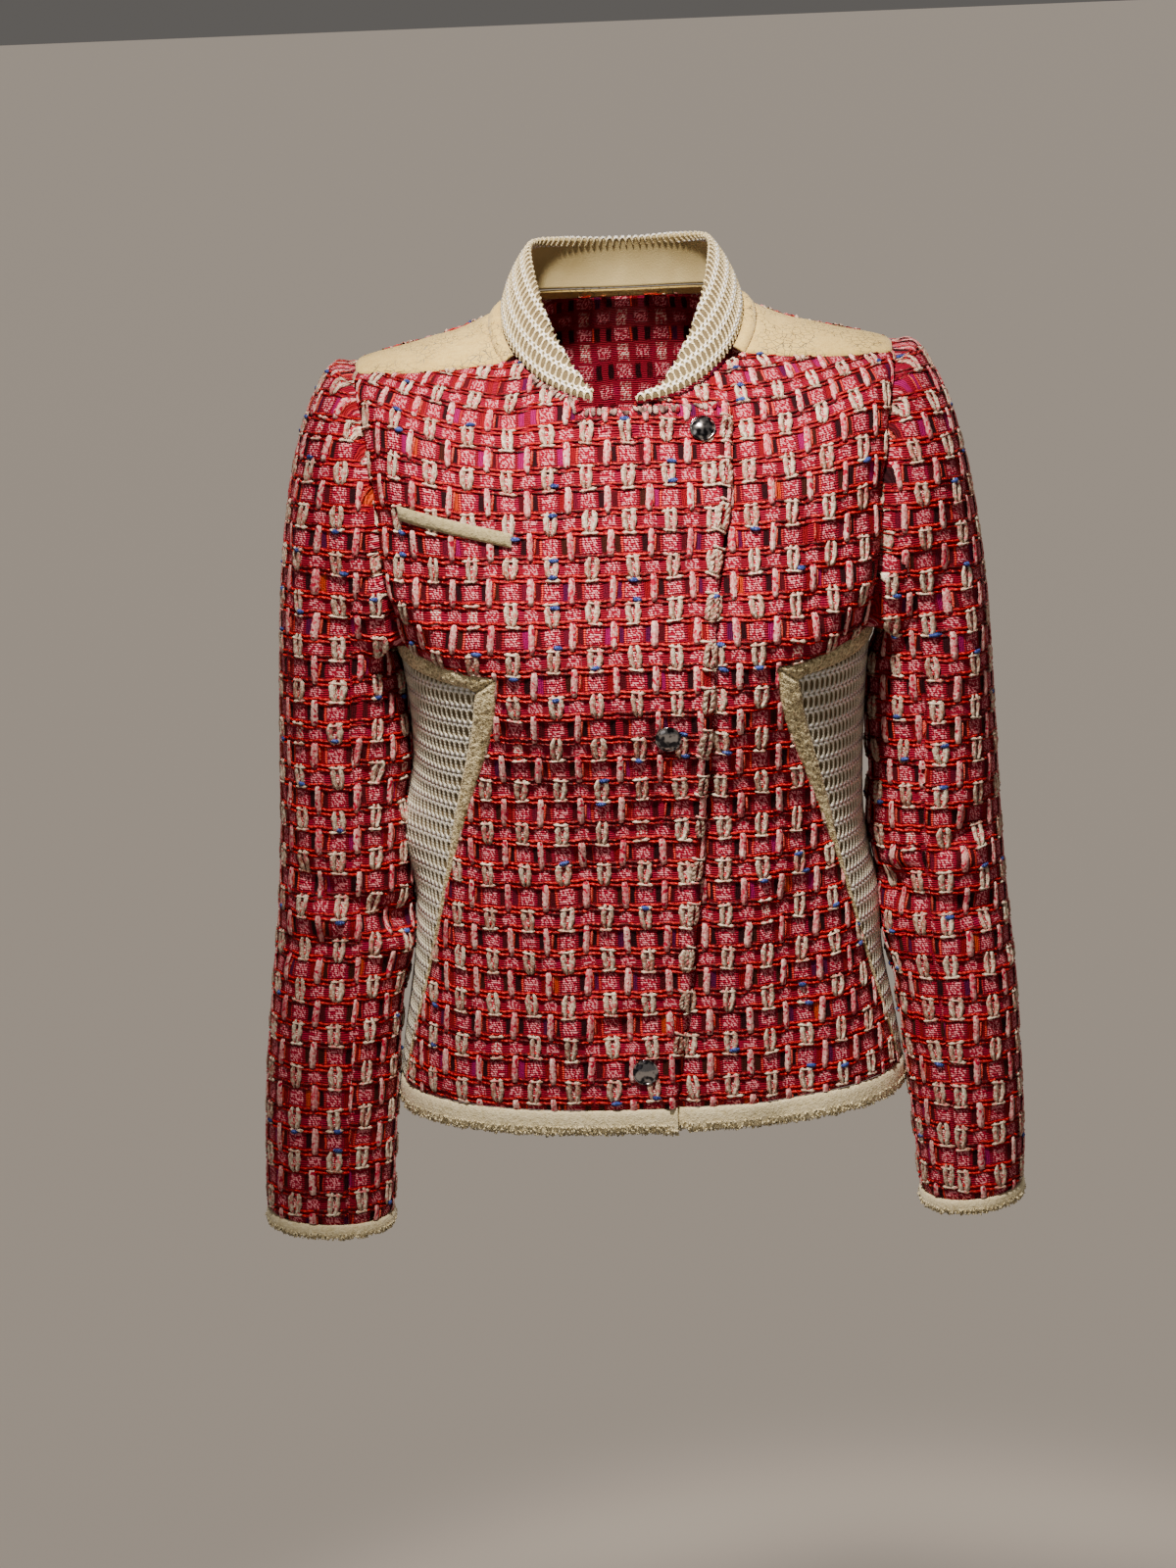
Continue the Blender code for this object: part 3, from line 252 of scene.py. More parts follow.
SNAPS = (("top", 0.0495, -0.07), ("middle", 0.019, -0.2675), ("bottom", -0.0045, -0.4965))
SNAP_RADIUS, SNAP_RISE = 0.0087, 0.0034
SLEEVE = Table(("s", "outer_x", "outer_z", "inner_x", "inner_z", "y_front", "y_back", "trim"),
    (0, 180, -28, 162.5, -208, -46, 46, 0),
    (0.02, 192, -28, 168.5, -207.5, -51, 50, 0),
    (0.05, 205, -44, 171.5, -213, -55, 54, 0),
    (0.09, 218, -74, 172.5, -226, -58, 56, 0),
    (0.14, 227.5, -114, 172, -246, -59, 58, 0),
    (0.22, 236.5, -182, 170.5, -284, -59, 60, 0),
    (0.32, 241.5, -256, 168, -322, -57, 62, 1),
    (0.44, 245, -332, 164.5, -362, -55, 61, 2),
    (0.56, 250, -398, 165, -408, -57, 53, 4),
    (0.68, 257.5, -458, 171, -464, -62, 42, 7),
    (0.82, 264.5, -526, 178, -534, -67, 30, 12),
    (0.92, 267, -574, 182, -582, -69, 24, 14),
    (1, 268, -605, 184, -611, -70, 20, 16),
    (1.04, 268.5, -624, 184.5, -630, -70, 18, 16), plain=("s",))
SLEEVE_SQUARE, SLEEVE_LENGTH, SLEEVE_RADIUS = 2.15, 0.62, 0.05
ARMHOLE_FADE, SEAM_TURN = 0.16, 0.03
CREASES = Table(("side", "around1", "s1", "around2", "s2", "width", "rise"),
    (-1, 60, 0.5, 150, 0.545, 12, -5), (-1, 75, 0.55, 150, 0.59, 12, 4), (-1, 40, 0.6, 140, 0.56, 12, -3.5),
    (-1, 75, 0.18, 120, 0.3, 14, -4), (-1, 50, 0.14, 95, 0.26, 14, 3), (1, 60, 0.46, 150, 0.52, 12, -4.5),
    (1, 60, 0.58, 140, 0.54, 12, -4), (1, 70, 0.5, 140, 0.48, 12, 3.5), (1, 75, 0.16, 120, 0.28, 14, -4),
    (-1, 250, 0.46, 320, 0.5, 16, 4), (1, 250, 0.48, 320, 0.51, 16, 4), (-1, 230, 0.2, 280, 0.12, 16, -3),
    (1, 230, 0.2, 280, 0.12, 16, -3), (-1, 20, 0.4, 80, 0.46, 7, 1.2), (-1, 30, 0.66, 110, 0.63, 8, -1.4),
    (-1, 60, 0.74, 140, 0.7, 8, 1.2), (-1, 10, 0.1, 50, 0.22, 7, -1), (1, 30, 0.64, 110, 0.66, 8, -1.4),
    (1, 50, 0.72, 140, 0.75, 8, 1.2), (1, 20, 0.38, 80, 0.42, 7, 1.2), (1, 10, 0.1, 50, 0.2, 7, -1),
    (-1, 175, 0.13, 175, 0.36, 30, 6), (1, 175, 0.13, 175, 0.36, 30, 5), (-1, 178, 0.1, 178, 0.25, 40, 8.8),
    (-1, 175, 0.4, 175, 0.6, 30, 5.8), (1, 178, 0.1, 178, 0.22, 40, 4.5), (1, 175, 0.15, 175, 0.42, 34, 5.6),
    (1, 175, 0.44, 175, 0.6, 30, 4.8), plain=("side", "around1", "s1", "around2", "s2"))
COLLAR = Table(("theta", "rise", "lean"),
    (6, 3, 1), (17, 6, 4), (30, 16, 12), (50, 28, 19), (70, 36, 21.5), (90, 38, 20), (130, 35, 13),
    (180, 34, 6), plain=("theta",))
COLLAR_END_RIGHT, COLLAR_END_LEFT = -17, 6
COLLAR_CROWN, COLLAR_LIFT = 0.003, 0.0004
SIDES = (("right", -1), ("left", 1))
WAIST = BODY.rows[10]
waist_radius = sqrt((WAIST[1] ** 2 + WAIST[2] * WAIST[3]) / 2)
print("girth at the waist about", round(2 * pi * waist_radius * 1000), "mm")

# %% [markdown]
# ## Surfaces from the tables
#
# The body is a stack of rounded rings, and each fold is a soft ridge or trough added along a line, so its
# length, width and depth can all be set by hand.

# %% Small helpers
def unit(vectors):
    return vectors / np.maximum(norm(vectors, axis=-1, keepdims=True), 1e-12)


def run_along(points):
    """Distance of each point from the first, along the line through them."""
    return np.concatenate([[0], np.cumsum(norm(np.diff(points, axis=0), axis=1))])


def ease(value):
    value = np.clip(value, 0.0, 1.0)
    return value * value * (3 - 2 * value)


print("front depth at the waist:", float(BODY("front", 0.32)))

# %% The body surface
def body_plain(theta, v):
    theta, v = np.broadcast_arrays(np.asarray(theta, dtype=float), np.asarray(v, dtype=float))
    along, across = np.cos(theta), np.sin(theta)
    ahead = along > 0
    depth = np.where(ahead, BODY("front", v), BODY("back", v))
    square = BODY("square", v)
    half_width = BODY("half_width", v)
    radius = ((np.abs(along) / depth) ** square + (np.abs(across) / half_width) ** square) ** (-1 / square)
    reach = radius * np.abs(along) / depth
    z_side = BODY("z_side", v)
    z_end = np.where(ahead, BODY("z_front", v), BODY("z_back", v))
    slope = np.where(ahead, -1, 1) * BODY("tilt", v) * depth
    z = z_side + (z_end - z_side) * reach ** 2 + slope * reach * (1 - reach)
    return np.stack([radius * across, -radius * along, z], axis=-1)


def slope_normal(surface, a, b, step_a=0.004, step_b=0.0008):
    by_a = surface(a + step_a, b) - surface(a - step_a, b)
    by_b = surface(a, b + step_b) - surface(a, b - step_b)
    return unit(np.cross(by_b, by_a))


def line_share(a, z, a1, z1, a2, z2, width):
    along = np.array([a2 - a1, z2 - z1])
    length = norm(along)
    along = along / length
    run = (a - a1) * along[0] + (z - z1) * along[1]
    off = (a - a1) * along[1] - (z - z1) * along[0]
    past = np.maximum(np.maximum(-run, run - length), 0.0)
    return np.exp(-(off / width) ** 2 - (past / width) ** 2)


def body_folds(points, normals):
    total = np.zeros(points.shape[:-1])
    for face, a1, z1, a2, z2, width, rise in FOLDS.rows:
        facing = np.clip(normals @ np.array(FACES[face], dtype=float), 0.0, 1.0)
        a = points[..., 0] if face in ("front", "back") else points[..., 1]
        total = total + rise * np.sqrt(facing) * line_share(a, points[..., 2], a1, z1, a2, z2, width)
    return total


def body(theta, v):
    """Points and outward normals of the body surface with its folds."""
    points = body_plain(theta, v)
    normals = slope_normal(body_plain, theta, v)
    return points + normals * body_folds(points, normals)[..., None], normals


def place(x, z):
    """theta and v of the plain body surface at x and z, seen from the front."""
    theta = asin(x / WIDEST)
    v = min(max(-z - 0.02, 0.01), 0.5)
    for _ in range(30):
        here = body_plain(theta, v)
        miss = np.array([x - here[0], z - here[2]])
        by_theta = (body_plain(theta + 1e-4, v) - here)[[0, 2]] / 1e-4
        by_v = (body_plain(theta, v + 1e-4) - here)[[0, 2]] / 1e-4
        change = np.linalg.solve(np.column_stack([by_theta, by_v]), miss)
        theta += float(np.clip(change[0], -0.15, 0.15))
        v = float(np.clip(v + np.clip(change[1], -0.03, 0.03), 0.0004, 0.535))
        if abs(change).max() < 1e-7:
            break
    return theta, v


print("the middle snap sits at theta, v =", [round(x, 3) for x in place(*SNAPS[1][1:])])

# %% [markdown]
# ## Seam lines
#
# A pattern piece is a patch between four seams. Each seam is a run of places on the body, spread evenly,
# or more closely where a rolled edge or a seam groove needs finer cloth. The same seams as on the walls
# are used, with more rows and columns between them.

# %% Runs of places and the patch between them
UPPER_ROWS, LOWER_ROWS, BAND_COLUMNS = 44, 60, 12


def evenly(path, count, shares=None):
    path = np.array(path, dtype=float)
    points = body_plain(path[:, 0], path[:, 1])
    run = run_along(points)
    at = (np.linspace(0, 1, count + 1) if shares is None else shares) * run[-1]
    return np.column_stack([np.interp(at, run, path[:, 0]), np.interp(at, run, path[:, 1])])


def crowded(count, close, share):
    """count + 1 shares from 0 to 1, the first close of them within the first share."""
    return np.concatenate([np.linspace(0, share, close + 1), np.linspace(share, 1, count - close + 1)[1:]])


def chain(*stretches):
    return np.vstack([stretches[0]] + [stretch[1:] for stretch in stretches[1:]])


def patch(top, bottom, left, right):
    s = np.linspace(0, 1, len(top))[None, :, None]
    t = np.linspace(0, 1, len(left))[:, None, None]
    bows = []
    for edge in (top, bottom):
        bows.append(edge - straight(edge[0], edge[-1], len(edge) - 1))
    return ((1 - s) * left[:, None] + s * right[:, None] + (1 - t) ** 1.5 * bows[0][None]
            + t ** 1.5 * bows[1][None])


def straight(start, end, count):
    share = np.linspace(0, 1, count + 1)[:, None]
    return np.array(start) * (1 - share) + np.array(end) * share


def mirrored(path):
    return np.array(path) * np.array([-1.0, 1.0])


print(UPPER_ROWS + LOWER_ROWS, "rows of cloth from the shoulder to the hem")

# %% The seams that the pieces share
def armhole(part, count):
    v = np.linspace(SHOULDER_V, UNDERARM_V, 40)
    if part == "front":
        theta = pi / 2 - np.radians(ARMHOLE("ahead", v))
    else:
        theta = pi / 2 + np.radians(ARMHOLE("behind", v))
    return evenly(np.column_stack([theta, v]), count)


def band_top_v(theta):
    share = ease((BAND_END - theta) / (BAND_END - CORNER_PLACE[0]))
    return UNDERARM_V + share * (CORNER_PLACE[1] - UNDERARM_V)


def leg_edge(z):
    return place(float(LEG("x", z)), z)


def closing_x(z):
    return CLOSING("x", z)


CORNER_PLACE = place(*CORNER)
ARM_FRONT = armhole("front", UPPER_ROWS)
ARM_BACK = armhole("back", UPPER_ROWS)
BAND_TOP = evenly([(t, band_top_v(t)) for t in np.linspace(CORNER_PLACE[0], BAND_END, 20)], BAND_COLUMNS)
LEG_PATH = [leg_edge(z) for z in np.linspace(CORNER[1], LEG.rows[-1][0], 30)]
LEG_PATH[-1] = (LEG_PATH[-1][0], HEM_SEAM_V)
LEG_EDGE = evenly(LEG_PATH, LOWER_ROWS)
LEG_EDGE_END = float(LEG_EDGE[-1][0])
YOKE_COLUMNS, NECK_COLUMNS = 24, 16
YOKE_FRONT = evenly([(YOKE_INNER, STRIP_V), tuple(ARM_FRONT[0])], YOKE_COLUMNS)
YOKE_REAR = evenly([(YOKE_BACK, STRIP_V), tuple(ARM_BACK[0])], YOKE_COLUMNS)
YOKE_NECK = evenly([(t, STRIP_V) for t in np.linspace(YOKE_INNER, YOKE_BACK, 19)], NECK_COLUMNS)
BACK_NECK = evenly([(t, STRIP_V) for t in np.linspace(YOKE_BACK, 2 * pi - YOKE_BACK, 39)], 30)
print("mesh corner at", [round(x, 3) for x in CORNER_PLACE])

# %% [markdown]
# ## The flat chart of the cloth
#
# Tweed shows any stretch at once, since its columns and rows must stay square. So each face of the jacket
# gets a chart in metres: x is the girth from the middle of the face, measured level, and y is the length
# up the cloth. Patterns, raised yarns and the openwork are all drawn in this chart.

# %% Charts of the front and the back
CHART_HALF = 121                 # degrees to each side of the middle, with a column at each
CHART_END, CHART_ROWS = 0.52, 268
CHART_LEVEL = 0.14               # v of the row that keeps its own height in the chart
CHART_MARGIN = 0.014


def body_wide(theta, v):
    """The plain body surface, carried straight on past the neck seam."""
    theta, v = np.broadcast_arrays(np.asarray(theta, dtype=float), np.asarray(v, dtype=float))
    inside = np.maximum(v, 0.0)
    rise = (body_plain(theta, 0.003) - body_plain(theta, 0.0)) / 0.003
    return body_plain(theta, inside) + rise * np.minimum(v, 0.0)[..., None]


def running(steps, axis):
    total = np.cumsum(steps, axis=axis)
    first = np.zeros_like(np.take(total, [0], axis=axis))
    return np.concatenate([first, total], axis=axis)


def flat_chart(points, middle, level, heights):
    """Girth and length of a grid of points in metres: columns go round and rows go down."""
    around = np.diff(points, axis=1)
    girth = running(norm(around[..., :2], axis=-1), 1)
    girth -= girth[:, middle][:, None]
    tangent = unit(np.gradient(points, axis=1))
    down = np.diff(points, axis=0)
    halfway = unit(tangent[1:] + tangent[:-1])
    down = down - (down * halfway).sum(axis=-1, keepdims=True) * halfway
    length = running(norm(down, axis=-1), 0)
    length -= length[level][None]
    return girth, heights[None] - length


class Chart:
    """One face of the body: a grid of theta and v with the flat place of each of its points."""

    def __init__(self, centre):
        self.theta = centre + np.radians(np.linspace(-CHART_HALF, CHART_HALF, 2 * CHART_HALF + 1))
        self.v = np.linspace(-CHART_MARGIN, CHART_END, CHART_ROWS)
        points = body_wide(self.theta[None], self.v[:, None])
        level = int(np.argmin(np.abs(self.v - CHART_LEVEL)))
        self.x, self.y = flat_chart(points, CHART_HALF, level, points[level, :, 2])

    def flat(self, theta, v):
        a = np.clip((theta - self.theta[0]) / (self.theta[1] - self.theta[0]), 0, len(self.theta) - 1.001)
        b = np.clip((v - self.v[0]) / (self.v[1] - self.v[0]), 0, len(self.v) - 1.001)
        i, j = b.astype(int), a.astype(int)
        s, t = a - j, b - i
        return np.stack([
            (grid[i, j] * (1 - s) + grid[i, j + 1] * s) * (1 - t)
            + (grid[i + 1, j] * (1 - s) + grid[i + 1, j + 1] * s) * t for grid in (self.x, self.y)], axis=-1)


FRONT_CHART = Chart(0.0)
BACK_CHART = Chart(pi)
print("front chart spans", [round(float(x), 3) for x in (FRONT_CHART.x.min(), FRONT_CHART.x.max())], "m")

# %% [markdown]
# ## A shell of cloth
#
# Each piece is a closed wall: an outer sheet, an inner sheet and a rim. The outer sheet dips at its edge,
# as cloth does where it turns into a seam. Its UV map is the flat chart.

# %% Sheets and walls
def grid_faces(rows, columns):
    r, c = np.meshgrid(np.arange(rows - 1), np.arange(columns - 1), indexing="ij")
    a = (r * columns + c).ravel()
    return np.column_stack([a, a + columns, a + columns + 1, a + 1])


def weld(grids):
    places, faces, seen = [], [], {}
    for grid in grids:
        index = []
        for spot in grid.reshape(-1, 2):
            key = (round(spot[0], 6), round(spot[1], 6))
            if key not in seen:
                seen[key] = len(places)
                places.append(spot)
            index.append(seen[key])
        faces.append(np.array(index)[grid_faces(*grid.shape[:2])])
    return np.array(places), np.vstack(faces)


def edge_ring(faces):
    """Directed edges that belong to one face only."""
    sides = np.vstack([np.column_stack([faces[:, i], faces[:, (i + 1) % 4]]) for i in range(4)])
    both = {(int(a), int(b)) for a, b in sides}
    return np.array([side for side in both if (side[1], side[0]) not in both])


def from_edge(flat, ring):
    """Distance of each flat place from the nearest side of the piece."""
    a, b = flat[ring[:, 0]], flat[ring[:, 1]]
    run = b - a
    share = ((flat[:, None] - a[None]) * run[None]).sum(-1) / np.maximum((run ** 2).sum(-1), 1e-12)[None]
    near = a[None] + np.clip(share, 0, 1)[..., None] * run[None]
    return norm(flat[:, None] - near, axis=-1).min(axis=1)


def put_mesh(name, verts, faces, flat=None, chart="cloth"):
    mesh = bpy.data.meshes.new(name)
    mesh.from_pydata([tuple(v) for v in verts], [], [tuple(int(i) for i in face) for face in faces])
    if flat is not None:
        layer = mesh.uv_layers.new(name=chart)
        corner = np.zeros(len(mesh.loops), dtype=int)
        mesh.loops.foreach_get("vertex_index", corner)
        layer.data.foreach_set("uv", np.ascontiguousarray(flat[corner], dtype=np.float32).ravel())
    mesh.shade_smooth()
    return put(name, mesh)


def triangles(piece):
    return sum(len(face.vertices) - 2 for face in piece.data.polygons)


def facing_out(points, normals, faces):
    """The faces, turned so that they look along the normals."""
    a, b, c = (points[faces[:, i]] for i in range(3))
    side = (np.cross(b - a, c - a) * normals[faces[:, 0]]).sum()
    return faces if side > 0 else faces[:, ::-1]


SKIRT_REACH, SKIRT_DROP = 0.0018, 0.0022
HOSTS = {}


def put_host(name, points, normals, faces, flat, ring):
    """The outer sheet with a skirt that dives under its seams, for yarns to be laid on."""
    step = points[ring[:, 1]] - points[ring[:, 0]]
    flat_step = flat[ring[:, 1]] - flat[ring[:, 0]]
    away = unit(np.cross(step, normals[ring[:, 0]]))
    turned = 1 if np.cross(*(flat[faces[0, [1, 2]]] - flat[faces[0, 0]])) > 0 else -1
    flat_away = unit(np.column_stack([flat_step[:, 1], -flat_step[:, 0]])) * turned
    border = np.unique(ring)
    number = {int(v): i + len(points) for i, v in enumerate(border)}
    out, flat_out = np.zeros((len(border), 3)), np.zeros((len(border), 2))
    for end in (0, 1):
        rows = np.searchsorted(border, ring[:, end])
        np.add.at(out, rows, away)
        np.add.at(flat_out, rows, flat_away)
    skirt = points[border] + unit(out) * SKIRT_REACH - normals[border] * SKIRT_DROP
    verts = np.vstack([points, skirt])
    places = np.vstack([flat, flat[border] + unit(flat_out) * SKIRT_REACH])
    ahead = np.array([(number[int(a)], number[int(b)]) for a, b in ring])
    quads = np.vstack([faces, np.column_stack([ring[:, 1], ring[:, 0], ahead[:, 0], ahead[:, 1]])])
    host = put_mesh("host_" + name, verts, quads, places)
    layer = host.data.attributes.new("outward", "FLOAT_VECTOR", "POINT")
    layer.data.foreach_set("vector", np.vstack([normals, normals[border]]).astype(np.float32).ravel())
    host.hide_render = True
    HOSTS[name] = (host, flat.min(axis=0), flat.max(axis=0))


def put_wall(name, points, normals, faces, flat, inner, outer, host=False):
    count = len(points)
    faces = facing_out(points, normals, faces)
    ring = edge_ring(faces)
    dip = 0.0007 * (1 - ease(from_edge(flat, ring) / 0.0035))
    top = points + normals * (outer - dip)[:, None]
    verts = np.vstack([top, points + normals * inner[:, None]])
    solid = np.vstack([faces, faces[:, ::-1] + count,
                       np.column_stack([ring[:, 1], ring[:, 0], ring[:, 0] + count, ring[:, 1] + count])])
    if host:
        put_host(name, top, normals, faces, flat, ring)
    return put_mesh(name, verts, solid, np.vstack([flat, flat]))


def body_shell(name, grids, chart, thick, lift=None, host=False):
    places, faces = weld(grids)
    points, normals = body(places[:, 0], places[:, 1])
    flat = chart.flat(places[:, 0], places[:, 1])
    shift = np.zeros(len(places)) if lift is None else lift(points)
    return put_wall(name, points, normals, faces, flat, INSIDE + shift, INSIDE + thick + shift, host)


def flat_area(piece):
    """Flat area of a shell's outer sheet, its width and its length, from its UV map."""
    mesh = piece.data
    uv = np.zeros(len(mesh.loops) * 2)
    mesh.uv_layers["cloth"].data.foreach_get("uv", uv)
    uv = uv.reshape(-1, 2)
    total = 0.0
    for face in mesh.polygons:
        corner = uv[list(face.loop_indices)]
        x, y = corner[:, 0], corner[:, 1]
        total += abs(np.dot(x, np.roll(y, -1)) - np.dot(y, np.roll(x, -1))) / 2
    return total / 2, np.ptp(uv[:, 0]), np.ptp(uv[:, 1])


print("shells ready")

# %% [markdown]
# ## Front, back and yokes
#
# The right front carries the flap. Its neck edge is a folded strip with a seam below it, and its closing
# edge is a soft roll, so both are pushed out of the shell by a few tenths of a millimetre and more.

# %% The right front with its flap
def front_grids(inner_upper, inner_lower, top, sign, close, reach):
    outer, leg, band = (seam if sign > 0 else mirrored(seam) for seam in (ARM_FRONT, LEG_EDGE, BAND_TOP))
    columns = len(top) - len(band)
    shares = crowded(columns, close, reach)
    across = evenly([tuple(inner_upper[-1]), tuple(leg[0])], columns, shares)
    hem = evenly([tuple(inner_lower[-1]), tuple(leg[-1])], columns, shares)
    grids = [patch(top, chain(across, band), inner_upper, outer), patch(across, hem, inner_lower, leg)]
    return [grid[:, ::-1] for grid in grids] if sign < 0 else grids


ROLL_CLOSE, ROLL_REACH = 10, 0.09
UPPER_LENGTH = 0.17              # of the closing edge, from the neck to the level of the mesh corner
STRIP_DROP = 0.0158              # width of the folded strip along the flap's neck edge


def flap_lift(points):
    """Height of the flap's roll and of its folded strip over the plain cloth."""
    x, z = points[:, 0], points[:, 2]
    in_front = points[:, 1] < 0
    off = closing_x(z) - x
    roll = 0.0024 * np.exp(-((off - 0.005) / 0.0042) ** 2) - 0.001 * np.exp(-(off / 0.0014) ** 2)
    drop = FLAP_TOP_Z - z
    along = ease((x - FLAP_START_X) / 0.02)
    strip = 0.0016 * ease(drop / 0.003) * ease((STRIP_DROP - drop) / 0.003)
    seam = -0.0026 * np.exp(-((drop - STRIP_DROP - 0.001) / 0.0019) ** 2)
    return np.where(in_front, roll * (off < 0.03) + (strip + seam) * along, 0.0)


def right_front():
    corner_z = FLAP_TOP_Z - FLAP_RADIUS
    near = (STRIP_DROP + 0.006) / UPPER_LENGTH
    upper = evenly([place(float(closing_x(z)), z) for z in np.linspace(corner_z, CORNER[1], 30)], UPPER_ROWS,
                   crowded(UPPER_ROWS, 14, near))
    lower = [place(float(closing_x(z)), z) for z in np.linspace(CORNER[1], HEM_SEAM_Z, 30)]
    lower[-1] = (lower[-1][0], HEM_SEAM_V)
    lower = evenly(lower, LOWER_ROWS)
    edge_x = float(closing_x(FLAP_TOP_Z))
    turn = [place(edge_x - FLAP_RADIUS + FLAP_RADIUS * cos(a), corner_z + FLAP_RADIUS * sin(a))
            for a in np.linspace(0, pi / 2, 7)]
    flap = [place(x, FLAP_TOP_Z) for x in np.linspace(edge_x - FLAP_RADIUS, FLAP_START_X, 14)]
    neck = [(t, STRIP_FREE_V) for t in np.linspace(flap[-1][0] - 0.03, -YOKE_INNER, 16)]
    top = chain(np.array(turn), evenly(flap, 16), evenly([flap[-1]] + neck, 12))
    top[-1] = (-YOKE_INNER, STRIP_V)
    top = chain(top, mirrored(YOKE_FRONT))
    return front_grids(upper, lower, top, -1, ROLL_CLOSE, ROLL_REACH)


RIGHT_FRONT = right_front()
front_right = body_shell("cloth_front_right", RIGHT_FRONT, FRONT_CHART, TWEED, flap_lift, True)
print("right front:", len(front_right.data.polygons), "faces")

# %% The left front, which shows beside the flap and lies under it
UNDER_SHARES = (1.0, 0.8, 0.6, 0.4, 0.2)


def below_neck(z):
    """0 at the neck and 1 from a little below it."""
    return ease((-0.034 - z) / 0.03)


def underlap_x(z, share):
    lean = below_neck(z)
    far = closing_x(z) + UNDERLAP_FAR * lean
    near = closing_x(z) - 0.004 + (UNDERLAP_NEAR + 0.004) * lean
    return far + (near - far) * share


def down_the_front(line, v_top):
    turn = np.linspace(-0.4, 1.3, 200)
    ring = body_plain(turn, np.full(len(turn), v_top))
    z_top = -0.05
    for _ in range(20):
        theta_top = float(np.interp(line(z_top), ring[:, 0], turn))
        z_top = float(np.interp(theta_top, turn, ring[:, 2]))
    upper = [place(line(z), z) for z in np.linspace(z_top, CORNER[1], UPPER_ROWS + 1)[1:]]
    lower = [place(line(z), z) for z in np.linspace(CORNER[1], HEM_SEAM_Z, LOWER_ROWS + 1)]
    lower[-1] = (lower[-1][0], HEM_SEAM_V)
    return np.array([(theta_top, v_top)] + upper), np.array(lower)


def left_front():
    lines = [lambda z, share=share: float(closing_x(z)) - share * UNDERLAP_WIDTH for share in UNDER_SHARES]
    lines += [lambda z, share=share: float(underlap_x(z, share)) for share in (1.0, 0.0)]
    columns = [down_the_front(line, STRIP_FREE_V) for line in lines]
    columns[-1][0][0] = (YOKE_INNER, STRIP_V)
    lapped = [np.stack([column[part] for column in columns], axis=1) for part in (0, 1)]
    beside = front_grids(columns[-1][0], columns[-1][1], YOKE_FRONT, 1, 1, 1 / 12)
    return lapped, beside


def under_lift(points):
    """The stretch behind the flap is set back by the flap's own thickness."""
    past = points[:, 0] - closing_x(points[:, 2])
    share = (past / below_neck(points[:, 2]).clip(0.05) - UNDERLAP_NEAR) / (UNDERLAP_FAR - UNDERLAP_NEAR)
    return np.where(points[:, 0] < 0.15, -UNDERLAP * (1 - ease(share)), 0.0)


LAPPED, LEFT_FRONT = left_front()
front_left = body_shell("cloth_front_left", LAPPED + LEFT_FRONT, FRONT_CHART, TWEED, under_lift, True)
print("left front:", len(front_left.data.polygons), "faces")

# %% Back and yokes
FULL_TURN = np.array((2 * pi, 0.0))


def back_grid():
    side = evenly([(SIDE_SEAM, UNDERARM_V), (SIDE_SEAM, HEM_SEAM_V)], LOWER_ROWS)
    left = chain(ARM_BACK, side)
    right = FULL_TURN + mirrored(left)
    top = chain(YOKE_REAR[::-1], BACK_NECK, FULL_TURN + mirrored(YOKE_REAR))
    hem = straight(left[-1], right[-1], len(top) - 1)
    return patch(top, hem, left, right)


def yoke_grid(sign):
    outer = straight(ARM_FRONT[0], ARM_BACK[0], NECK_COLUMNS)
    grid = patch(YOKE_NECK, outer, YOKE_FRONT, YOKE_REAR)
    return mirrored(grid.reshape(-1, 2)).reshape(grid.shape)[:, ::-1] if sign < 0 else grid


BACK_GRID = back_grid()
back = body_shell("cloth_back", [BACK_GRID], BACK_CHART, TWEED, None, True)
yokes = {side: body_shell("suede_yoke_" + side, [yoke_grid(sign)], FRONT_CHART, YOKE)
         for side, sign in SIDES}
print("back:", len(back.data.polygons), "faces")

# %% [markdown]
# ## Sleeves
#
# A sleeve is a tube from the armhole to the cuff. Its rings start as the armhole's own outline and fade
# into ovals, so the head of the sleeve fits its seam. Two seams run down it, as in any tailored sleeve.

# %% Rings of a sleeve
def sleeve_frame(s, sign):
    outer_x, outer_z, inner_x, inner_z, y_front, y_back, trim = (
        float(SLEEVE(name, s)) for name in list(SLEEVE.columns)[1:])
    outer = np.array([outer_x - (trim if sign > 0 else 0.0), 0.0, outer_z])
    inner = np.array([inner_x, 0.0, inner_z])
    middle = (outer + inner) / 2
    middle[1] = (y_front + y_back) / 2
    return middle, (outer - inner) / 2, np.array([0.0, (y_front - y_back) / 2, 0.0])


def sleeve_oval(turn, s, sign):
    middle, to_outer, to_front = sleeve_frame(s, sign)
    c, d = np.cos(turn), np.sin(turn)
    size = (np.abs(c) ** SLEEVE_SQUARE + np.abs(d) ** SLEEVE_SQUARE) ** (-1 / SLEEVE_SQUARE)
    return middle + (size * c)[:, None] * to_outer + (size * d)[:, None] * to_front


ARM_SIDE = 26                    # places on each side of the armhole
ARM_UNDER, ARM_OVER = 12, 6
SLEEVE_RING = chain(straight(ARM_BACK[0], ARM_FRONT[0], ARM_OVER), armhole("front", ARM_SIDE),
                    straight((BAND_END, UNDERARM_V), (SIDE_SEAM, UNDERARM_V), ARM_UNDER),
                    armhole("back", ARM_SIDE)[::-1])[:-1]
ARM_POINTS = body_plain(SLEEVE_RING[:, 0], SLEEVE_RING[:, 1])
ARM_NORMALS = slope_normal(body_plain, SLEEVE_RING[:, 0], SLEEVE_RING[:, 1])


def sleeve_turns():
    middle, to_outer, to_front = sleeve_frame(0.0, -1)
    off = ARM_POINTS - middle
    up = off @ unit(to_outer) / norm(to_outer)
    ahead = off @ unit(to_front) / norm(to_front)
    return np.arctan2(ahead, up) % (2 * pi)


